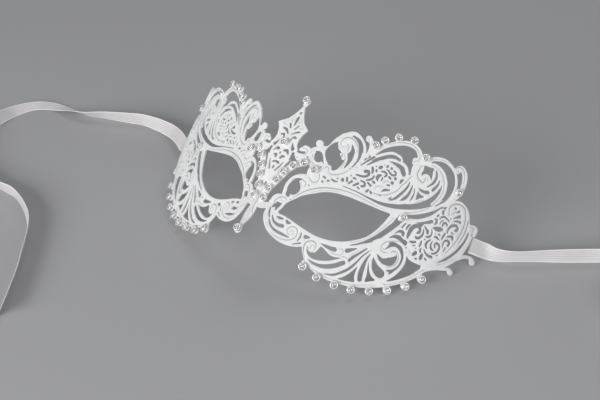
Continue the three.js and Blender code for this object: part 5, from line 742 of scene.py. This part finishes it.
def triangulate(points, edges, edge_kinds):
    """Constrained triangles over the flat sheet; the pieces inside are told by crossing the outline."""
    verts, tris_edges, tris, _, from_edges, _ = delaunay_2d_cdt(
        [Vector((float(a), float(b))) for a, b in points], [tuple(e) for e in edges], [], 0, 1e-6, True
    )
    outline = set()
    for (a, b), source in zip(tris_edges, from_edges):
        if any(edge_kinds[s] == 1 for s in source if s < len(edge_kinds)):
            outline.add((min(a, b), max(a, b)))
    co = np.array([(v[0], v[1]) for v in verts])
    tris = [tuple(t) for t in tris]
    users = {}
    for n, t in enumerate(tris):
        for a, b in zip(t, t[1:] + t[:1]):
            users.setdefault((min(a, b), max(a, b)), []).append(n)
    first = max(range(len(tris)), key=lambda n: co[list(tris[n])][:, 0].mean())
    state = {first: False}
    stack = [first]
    while stack:
        n = stack.pop()
        t = tris[n]
        for a, b in zip(t, t[1:] + t[:1]):
            key = (min(a, b), max(a, b))
            for m in users[key]:
                if m not in state:
                    state[m] = state[n] ^ (key in outline)
                    stack.append(m)
    inner = [tris[n] for n in range(len(tris)) if state.get(n)]
    turned = []
    for a, b, c in inner:
        cross = (co[b, 0] - co[a, 0]) * (co[c, 1] - co[a, 1]) - (co[b, 1] - co[a, 1]) * (co[c, 0] - co[a, 0])
        turned.append((a, b, c) if cross > 0 else (a, c, b))
    return co, turned


EDGE_ROUND = 0.16  # rounding of the coated edge


def height(u, v):
    """How far the front face lies below the sheet's full thickness."""
    inwards = np.clip(1 + sample(field, u, v) / EDGE_ROUND, 0, 1)
    return EDGE_ROUND * (1 - np.sqrt(np.clip(1 - inwards**2, 0, 1))) * 0.9 + sample(engraved, u, v)


def interior_points(step, near, clearance, fine=True):
    """Points inside the metal, closer together on the bridge of the nose."""
    found = []
    for lo, hi, s in ((0, near, step * 0.4), (near, REACH, step)):
        u, v = np.meshgrid(np.arange(lo + s / 2, hi, s), np.arange(LOW, HIGH, s))
        u, v = u.ravel(), v.ravel()
        ok = sample(field, u, v) < -clearance
        if fine:
            ok &= sample(engraved, u, v) < 1e-4
        found.append(np.stack([u[ok], v[ok]], 1))
    return np.vstack(found)


points, edges, kinds = [], [], []
HELPERS = [(0.0, LOW - 2), (0.0, HIGH + 2), (REACH + 3, LOW - 2), (REACH + 3, HIGH + 2)]


def chain(line, closed, kind):
    base = len(points)
    points.extend(line.tolist())
    n = len(line)
    for k in range(n if closed else n - 1):
        edges.append((base + k, base + (k + 1) % n))
        kinds.append(kind)


for line, closed in contours(0.0):
    if len(line) < 8:
        continue
    chain(thin(line, closed, 0.014, 0.9), closed, 1)
for line, closed in contours(-EDGE_ROUND):
    if len(line) < 8:
        continue
    chain(thin(line, closed, 0.02, 1.1), closed, 2)
for line, half in grooves:
    length = np.concatenate([[0], np.cumsum(np.linalg.norm(np.diff(line, axis=0), axis=1))])
    n = max(2, int(length[-1] / 0.4))
    at = np.linspace(0, length[-1], n + 1)
    half = np.interp(at, length, half)
    line = np.stack([np.interp(at, length, line[:, k]) for k in range(2)], 1)
    along = unit(np.gradient(line, axis=0))
    normal = np.stack([-along[:, 1], along[:, 0]], 1)
    for offset in (-1.05, -0.55, 0.0, 0.55, 1.05):
        moved = line + normal * offset * half[:, None]
        ok = (sample(field, moved[:, 0], moved[:, 1]) < -EDGE_ROUND - 0.05) & (moved[:, 0] > 0.02)
        run = []
        for p, good in zip(moved, ok):
            if good:
                run.append(p)
                continue
            if len(run) > 1:
                chain(np.array(run), False, 2)
            run = []
        if len(run) > 1:
            chain(np.array(run), False, 2)
base = len(points)
points.extend(HELPERS)
edges.append((base, base + 1))
kinds.append(3)
points.extend(interior_points(2.2, 14, 0.5).tolist())
print("outline and relief points", len(points))
flat, front_tris = triangulate(points, edges, kinds)

# the outline that the front came to, for the back and the walls
count = {}
for t in front_tris:
    for a, b in zip(t, t[1:] + t[:1]):
        count[(a, b)] = 1
rims = [(a, b) for (a, b) in count if (b, a) not in count and not (abs(flat[a, 0]) < 1e-7 and abs(flat[b, 0]) < 1e-7)]
rim_verts = sorted({a for e in rims for a in e})
rim_index = {a: n for n, a in enumerate(rim_verts)}
back_points = [tuple(flat[a]) for a in rim_verts]
back_edges = [(rim_index[a], rim_index[b]) for a, b in rims]
back_kinds = [1] * len(back_edges)
n0 = len(back_points)
back_points += HELPERS
back_edges.append((n0, n0 + 1))
back_kinds.append(3)
back_points += [tuple(p) for p in interior_points(3.2, 14, 0.8, False).tolist()]
back_flat, back_tris = triangulate(back_points, back_edges, back_kinds)

# ---------------------------------------------------------------- bending
xs = np.arange(0, 112, 0.05)


def depth_at(x):
    a = np.abs(x)
    s = np.sqrt(a * a + 9) - 3
    return CURVE[0] + CURVE[1] * s + CURVE[2] * a**2 + CURVE[3] * a**3 + CURVE[4] * a**4


arc = np.concatenate([[0], np.cumsum(np.hypot(0.05, np.diff(depth_at(xs))))])
ridge_v, ridge_d = np.array(RIDGE, float).T


def on_sheet(u, v):
    u, v = np.asarray(u, float), np.asarray(v, float)
    x = np.sign(u) * np.interp(np.abs(u), arc, xs)
    y = depth_at(x) + np.interp(v, ridge_v, ridge_d) * np.exp(-((x / RIDGE_WIDTH) ** 2))
    return (
        np.stack([x, y * math.cos(LEAN) + v * math.sin(LEAN), -y * math.sin(LEAN) + v * math.cos(LEAN)], -1) - ORIGIN
    )


def sheet_frame(u, v):
    u, v = np.asarray(u, float), np.asarray(v, float)
    along_u = unit(on_sheet(u + 0.4, v) - on_sheet(u - 0.4, v))
    along_v = unit(on_sheet(u, v + 0.8) - on_sheet(u, v - 0.8))
    return along_u, along_v, unit(np.cross(along_u, along_v))


def build_sheet():
    nf, nb = len(flat), len(back_flat)
    u = np.concatenate([flat[:, 0], back_flat[:, 0]])
    v = np.concatenate([flat[:, 1], back_flat[:, 1]])
    z = np.concatenate([SHEET / 2 - height(flat[:, 0], flat[:, 1]), np.full(nb, -SHEET / 2)])
    # outward direction of the edge at each outline point, in the flat
    out = np.zeros((nf, 2))
    for a, b in rims:
        d = flat[b] - flat[a]
        n = np.array([d[1], -d[0]])
        out[a] += n
        out[b] += n
    out = unit(out)
    is_rim = np.zeros(nf, bool)
    is_rim[rim_verts] = True
    # the back's points, found again by place
    find = {(round(p[0], 5), round(p[1], 5)): k for k, p in enumerate(back_flat)}
    back_of = {a: find[(round(flat[a, 0], 5), round(flat[a, 1], 5))] for a in rim_verts}
    walls = [(a, b, back_of[b] + nf, back_of[a] + nf) for a, b in rims]
    backs = [(a + nf, c + nf, b + nf) for a, b, c in back_tris]
    # slope of the front face, for its shading
    e = 0.08
    gu = (height(flat[:, 0] + e, flat[:, 1]) - height(flat[:, 0] - e, flat[:, 1])) / (2 * e)
    gv = (height(flat[:, 0], flat[:, 1] + e) - height(flat[:, 0], flat[:, 1] - e)) / (2 * e)
    gu, gv = np.clip(gu, -1.5, 1.5), np.clip(gv, -1.5, 1.5)
    half_verts, loops_n, half_faces = [], [], []
    pieces = []
    for side in (1, -1):
        uu = u * side
        au, av, n = sheet_frame(uu, v)
        p = on_sheet(uu, v) + n * z[:, None]
        bevel = np.zeros((len(u), 3))
        o3 = out[:, :1] * side * au[:nf] + out[:, 1:] * av[:nf]
        sloped = n[:nf] + gu[:, None] * side * au[:nf] + gv[:, None] * av[:nf]
        soft = unit(np.where(is_rim[:, None], n[:nf] + o3 * 0.9, sloped))
        pieces.append((p, n, soft, unit(np.where(is_rim[:, None], o3, n[:nf]))))
    total = nf + nb
    verts = np.vstack([pieces[0][0], pieces[1][0]])
    faces, normals = [], []
    for s, (p, n, soft, outer) in enumerate(pieces):
        shift = s * total
        for t in front_tris:
            corner = [soft[a] for a in t]
            if s:
                t, corner = t[::-1], corner[::-1]
            faces.append(tuple(a + shift for a in t))
            normals += corner
        for a, b, c, d in walls:
            t = (b, a, d, c)
            top = unit(outer[b] + 0.35 * n[b]), unit(outer[a] + 0.35 * n[a])
            corner = [top[0], top[1], outer[a], outer[b]]
            if s:
                t, corner = t[::-1], corner[::-1]
            faces.append(tuple(q + shift for q in t))
            normals += corner
        for t in backs:
            corner = [-n[a] for a in t]
            if s:
                t, corner = t[::-1], corner[::-1]
            faces.append(tuple(a + shift for a in t))
            normals += corner
    # join the halves on the middle line
    keep = np.arange(len(verts))
    middle = {}
    for a in range(total):
        if abs(u[a]) < 1e-7:
            middle[a + total] = a
    remap = np.arange(len(verts))
    for a, b in middle.items():
        remap[a] = b
    used = np.zeros(len(verts), bool)
    faces = [tuple(int(remap[a]) for a in f) for f in faces]
    for f in faces:
        used[list(f)] = True
    renumber = np.cumsum(used) - 1
    verts = verts[used]
    depth = np.tile(np.concatenate([sample(engraved, flat[:, 0], flat[:, 1]), np.zeros(nb)]), 2)[used]
    faces = [tuple(int(renumber[a]) for a in f) for f in faces]
    mesh = bpy.data.meshes.new("filigree_sheet")
    mesh.from_pydata([tuple(q) for q in verts * MM], [], faces)
    mesh.shade_smooth()
    mesh.normals_split_custom_set([tuple(q) for q in normals])
    # depth of the engraved lines on the points: the mask of the painted shade in the coat's grooves
    mesh.attributes.new("engraved", "FLOAT", "POINT").data.foreach_set("value", np.clip(depth / 0.24, 0, 1))
    obj = bpy.data.objects.new("filigree_sheet", mesh)
    scene.collection.objects.link(obj)
    return obj


sheet = build_sheet()
print("sheet triangles", sum(len(p.vertices) - 2 for p in sheet.data.polygons))
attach(sheet, "root")
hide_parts("filigree_plate")


# ---------------------------------------------------------------- stones in their cups
def lathe(profile, sides):
    """Rings of a turned profile, from the axis to the axis."""
    verts, rings, faces = [], [], []
    for r, z in profile:
        if r < 1e-6:
            rings.append([len(verts)])
            verts.append((0, 0, z))
        else:
            rings.append(list(range(len(verts), len(verts) + sides)))
            verts += [(r * math.cos(2 * math.pi * k / sides), r * math.sin(2 * math.pi * k / sides), z) for k in range(sides)]
    for a, b in zip(rings[:-1], rings[1:]):
        for k in range(sides):
            q = [a[k % len(a)], a[(k + 1) % len(a)], b[(k + 1) % len(b)], b[k % len(b)]]
            face = []
            for x in q:
                if x not in face:
                    face.append(x)
            faces.append(tuple(face))
    return verts, faces


def cup_profile():
    """A pressed cup: foot, flared wall, rolled lip that holds the stone, hollow within."""
    lip_r, lip_z, roll = 1.6, 1.32, 0.3
    outer = [(0, 0), (1.25, 0), (1.5, 0.05), (1.66, 0.2), (1.8, 0.7), (1.87, 1.1)]
    lip = [
        (lip_r + roll * math.cos(a), lip_z + roll * math.sin(a)) for a in np.radians([-10, 15, 40, 65, 90, 115, 140, 165, 190])
    ]
    inner = [(1.26, 1.0), (1.15, 0.5), (1.0, 0.3), (0, 0.24)]
    return outer + lip + inner


def stone_shape(rng):
    """A round cut stone: table, star and main facets, girdle, pointed underside."""
    turn = rng.uniform(0, math.tau)
    ring = lambda r, z, n, off: [
        (r * math.cos(math.tau * (k + off) / n + turn), r * math.sin(math.tau * (k + off) / n + turn), z) for k in range(n)
    ]
    table, star, girdle_t, girdle_b = ring(0.72, 1.98, 8, 0), ring(1.06, 1.8, 8, 0.5), ring(1.36, 1.46, 16, 0), ring(1.36, 1.36, 16, 0)
    pavilion, tip = ring(0.7, 0.72, 8, 0.5), [(0, 0, 0.34)]
    verts = table + star + girdle_t + girdle_b + pavilion + tip
    t0, s0, g0, b0, p0, c0 = 0, 8, 16, 32, 48, 56
    faces = [tuple(range(8))]
    for k in range(8):
        a, b = t0 + k, t0 + (k + 1) % 8
        s, s1 = s0 + k, s0 + (k + 1) % 8
        g, g1, g2, g3 = (g0 + (2 * k + m) % 16 for m in range(4))
        faces.append((a, s, b))
        faces.append((b, s, g2, s1))
        faces.append((s, g, g1))
        faces.append((s, g1, g2))
        faces.append((p0 + k, p0 + (k + 1) % 8, c0)[::-1])
        q, q1, q2, q3 = (b0 + (2 * k + m) % 16 for m in range(4))
        faces.append((q, q1, p0 + k)[::1])
        faces.append((q1, q2, p0 + k))
        faces.append((q2, p0 + (k + 1) % 8, p0 + k))
    for k in range(16):
        a, b = k, (k + 1) % 16
        faces.append((g0 + a, b0 + a, b0 + b, g0 + b))
    return verts, faces


import bmesh


def set_stone(name, u, v, rng):
    cup_v, cup_f = lathe(cup_profile(), 40)
    gem_v, gem_f = stone_shape(rng)
    n = len(cup_v)
    co = np.array(cup_v + gem_v, float)
    # each is set a little by hand: its turn and a slight lean
    au, av, front = (a for a in sheet_frame(u, v))
    lean = rng.normal(0, 0.02, 2)
    front = unit(front + au * lean[0] + av * lean[1])
    au = unit(au - front * (au @ front))
    av = np.cross(front, au)
    base = on_sheet(u, v) + front * (SHEET / 2 - 0.02)
    world = base + co[:, :1] * au + co[:, 1:2] * av + co[:, 2:] * front
    mesh = bpy.data.meshes.new(name)
    mesh.from_pydata([tuple(q) for q in world * MM], [], [tuple(f) for f in cup_f] + [tuple(a + n for a in f) for f in gem_f])
    bm = bmesh.new()
    bm.from_mesh(mesh)
    bmesh.ops.recalc_face_normals(bm, faces=bm.faces)
    bm.faces.ensure_lookup_table()
    for k, f in enumerate(bm.faces):
        f.material_index = 0 if k < len(cup_f) else 1
        f.smooth = k < len(cup_f)
    bm.to_mesh(mesh)
    bm.free()
    obj = bpy.data.objects.new(name, mesh)
    scene.collection.objects.link(obj)
    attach(obj, "root")
    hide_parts(name.replace("rhinestone", "stone"))
    return obj


rng = np.random.default_rng(11)
stones = []
for key, (u, v) in SIDE_STONES.items():
    stones.append(set_stone("rhinestone_" + key + "_right", u, v, rng))
    stones.append(set_stone("rhinestone_" + key + "_left", -u, v, rng))
for key, (u, v) in CENTRE_STONES.items():
    stones.append(set_stone("rhinestone_" + key, u, v, rng))


# ---------------------------------------------------------------- finishes
def material(name):
    m = bpy.data.materials.new(name)
    m.use_nodes = True
    shader = m.node_tree.nodes["Principled BSDF"]
    return m, m.node_tree.nodes, m.node_tree.links, shader


def noise(nodes, links, vector, scale, detail=2.0, rough=0.5):
    n = nodes.new("ShaderNodeTexNoise")
    n.inputs["Scale"].default_value = scale
    n.inputs["Detail"].default_value = detail
    n.inputs["Roughness"].default_value = rough
    links.new(vector, n.inputs["Vector"])
    return n


def ramp(nodes, links, value, stops):
    r = nodes.new("ShaderNodeValToRGB")
    r.color_ramp.elements[0].position, r.color_ramp.elements[0].color = stops[0][0], (*stops[0][1], 1)
    r.color_ramp.elements[1].position, r.color_ramp.elements[1].color = stops[-1][0], (*stops[-1][1], 1)
    for p, c in stops[1:-1]:
        e = r.color_ramp.elements.new(p)
        e.color = (*c, 1)
    links.new(value, r.inputs["Fac"])
    return r


coat, nodes, links, shader = material("white_coat")
place = nodes.new("ShaderNodeTexCoord").outputs["Object"]
tone = noise(nodes, links, place, 420, 4)
face = ramp(nodes, links, tone.outputs["Fac"], [(0.3, (0.82, 0.82, 0.82)), (0.7, (0.88, 0.88, 0.875))])
# painted shade: the colour is darkened down in the engraved lines, the more the deeper they are cut
line = nodes.new("ShaderNodeAttribute")
line.attribute_name = "engraved"
groove_painted_shade = nodes.new("ShaderNodeMix")
groove_painted_shade.data_type = "RGBA"
links.new(line.outputs["Fac"], groove_painted_shade.inputs["Factor"])
links.new(face.outputs["Color"], groove_painted_shade.inputs["A"])
# dark grey of the painted shade in the grooves
groove_painted_shade.inputs["B"].default_value = (0.36, 0.36, 0.36, 1)
links.new(groove_painted_shade.outputs["Result"], shader.inputs["Base Color"])
gloss = noise(nodes, links, place, 1400, 2)
r = nodes.new("ShaderNodeMapRange")
r.inputs["To Min"].default_value, r.inputs["To Max"].default_value = 0.34, 0.50
links.new(gloss.outputs["Fac"], r.inputs["Value"])
links.new(r.outputs["Result"], shader.inputs["Roughness"])
peel = noise(nodes, links, place, 900, 4)
bump = nodes.new("ShaderNodeBump")
bump.inputs["Strength"].default_value, bump.inputs["Distance"].default_value = 0.35, 0.00012
links.new(peel.outputs["Fac"], bump.inputs["Height"])
links.new(bump.outputs["Normal"], shader.inputs["Normal"])
sheet.data.materials.append(coat)

cup_metal, nodes, links, shader = material("bright_cup")
place = nodes.new("ShaderNodeTexCoord").outputs["Object"]
shader.inputs["Metallic"].default_value = 0.45
tone = noise(nodes, links, place, 700, 2)
links.new(ramp(nodes, links, tone.outputs["Fac"], [(0.3, (0.86, 0.86, 0.845)), (0.7, (0.93, 0.93, 0.92))]).outputs["Color"], shader.inputs["Base Color"])
r = nodes.new("ShaderNodeMapRange")
r.inputs["To Min"].default_value, r.inputs["To Max"].default_value = 0.22, 0.4
links.new(tone.outputs["Fac"], r.inputs["Value"])
links.new(r.outputs["Result"], shader.inputs["Roughness"])

clear, nodes, links, shader = material("clear_stone")
shader.inputs["Base Color"].default_value = (0.97, 0.97, 0.96, 1)
shader.inputs["Transmission Weight"].default_value = 0.8
shader.inputs["IOR"].default_value = 1.56
shader.inputs["Roughness"].default_value = 0.09
for obj in stones:
    obj.data.materials.append(cup_metal)
    obj.data.materials.append(clear)

satin, nodes, links, shader = material("satin")
weave = nodes.new("ShaderNodeUVMap")
weave.uv_map = "weave"
parts = nodes.new("ShaderNodeSeparateXYZ")
links.new(weave.outputs["UV"], parts.inputs["Vector"])
place = nodes.new("ShaderNodeTexCoord").outputs["Object"]
shader.inputs["Roughness"].default_value = 0.42
shader.inputs["Sheen Weight"].default_value = 0.35
shader.inputs["Sheen Roughness"].default_value = 0.4
shader.inputs["Anisotropic"].default_value = 0.5


def maths(op, a, b=None, clamp=False):
    m = nodes.new("ShaderNodeMath")
    m.operation, m.use_clamp = op, clamp
    for k, x in enumerate((a, b)):
        if x is None:
            continue
        if isinstance(x, (int, float)):
            m.inputs[k].default_value = x
        else:
            links.new(x, m.inputs[k])
    return m.outputs[0]


# fine threads along the ribbon, finer ones across, and a firmer thread at each edge
along = maths("SINE", maths("MULTIPLY", parts.outputs["Y"], 2 * math.pi / (1.05 * MM * 10)))
across = maths("SINE", maths("MULTIPLY", parts.outputs["X"], 2 * math.pi / (0.22 * MM * 10)))
threads = maths("ADD", maths("MULTIPLY", along, 0.7), maths("MULTIPLY", across, 0.3))
bump = nodes.new("ShaderNodeBump")
bump.inputs["Strength"].default_value, bump.inputs["Distance"].default_value = 0.5, 0.00009
links.new(threads, bump.inputs["Height"])
links.new(bump.outputs["Normal"], shader.inputs["Normal"])
edge = maths("GREATER_THAN", maths("ABSOLUTE", parts.outputs["Y"]), (TIE_W / 2 - 0.62) * MM * 10)
tone = noise(nodes, links, place, 60, 2)
shade = maths("ADD", maths("MULTIPLY", along, 0.3), tone.outputs["Fac"])
base = ramp(nodes, links, shade, [(0.15, (0.65, 0.625, 0.63)), (0.85, (0.84, 0.815, 0.82))])
mix = nodes.new("ShaderNodeMix")
mix.data_type = "RGBA"
links.new(edge, mix.inputs["Factor"])
links.new(base.outputs["Color"], mix.inputs["A"])
mix.inputs["B"].default_value = (0.93, 0.92, 0.92, 1)
links.new(mix.outputs["Result"], shader.inputs["Base Color"])
for obj in ribbons:
    obj.data.materials.append(satin)

# ---------------------------------------------------------------- floor, light
floor_mesh = bpy.data.meshes.new("floor")
floor_mesh.from_pydata([(-4, -4, 0), (4, -4, 0), (4, 6, 0), (-4, 6, 0)], [], [(0, 1, 2, 3)])
floor = bpy.data.objects.new("floor", floor_mesh)
scene.collection.objects.link(floor)
pale, nodes, links, shader = material("pale_floor")
shader.inputs["Base Color"].default_value = (0.42, 0.42, 0.43, 1)
shader.inputs["Roughness"].default_value = 0.6
floor_mesh.materials.append(pale)


def area(name, place, aim, size, power, colour=(1, 1, 1)):
    data = bpy.data.lights.new(name, "AREA")
    data.shape, data.size, data.size_y = "RECTANGLE", size[0], size[1]
    data.energy, data.color = power, colour
    obj = bpy.data.objects.new(name, data)
    obj.location = place
    obj.rotation_mode = "QUATERNION"
    obj.rotation_quaternion = (Vector(aim) - Vector(place)).to_track_quat("-Z", "Y")
    scene.collection.objects.link(obj)


area("key", (-0.25, -1.0, 0.42), (0, 0, 0.03), (0.8, 0.45), 9.6)
area("fill", (0.95, -0.35, 0.5), (0, 0, 0.03), (0.5, 0.5), 3.0)
area("top", (-0.2, 0.6, 0.9), (0, 0, 0.03), (0.8, 0.5), 2.0)
world = bpy.data.worlds.new("soft")
world.use_nodes = True
world.node_tree.nodes["Background"].inputs["Color"].default_value = (0.93, 0.95, 1.0, 1)
world.node_tree.nodes["Background"].inputs["Strength"].default_value = 0.22
scene.world = world
scene.view_settings.view_transform = "Standard"
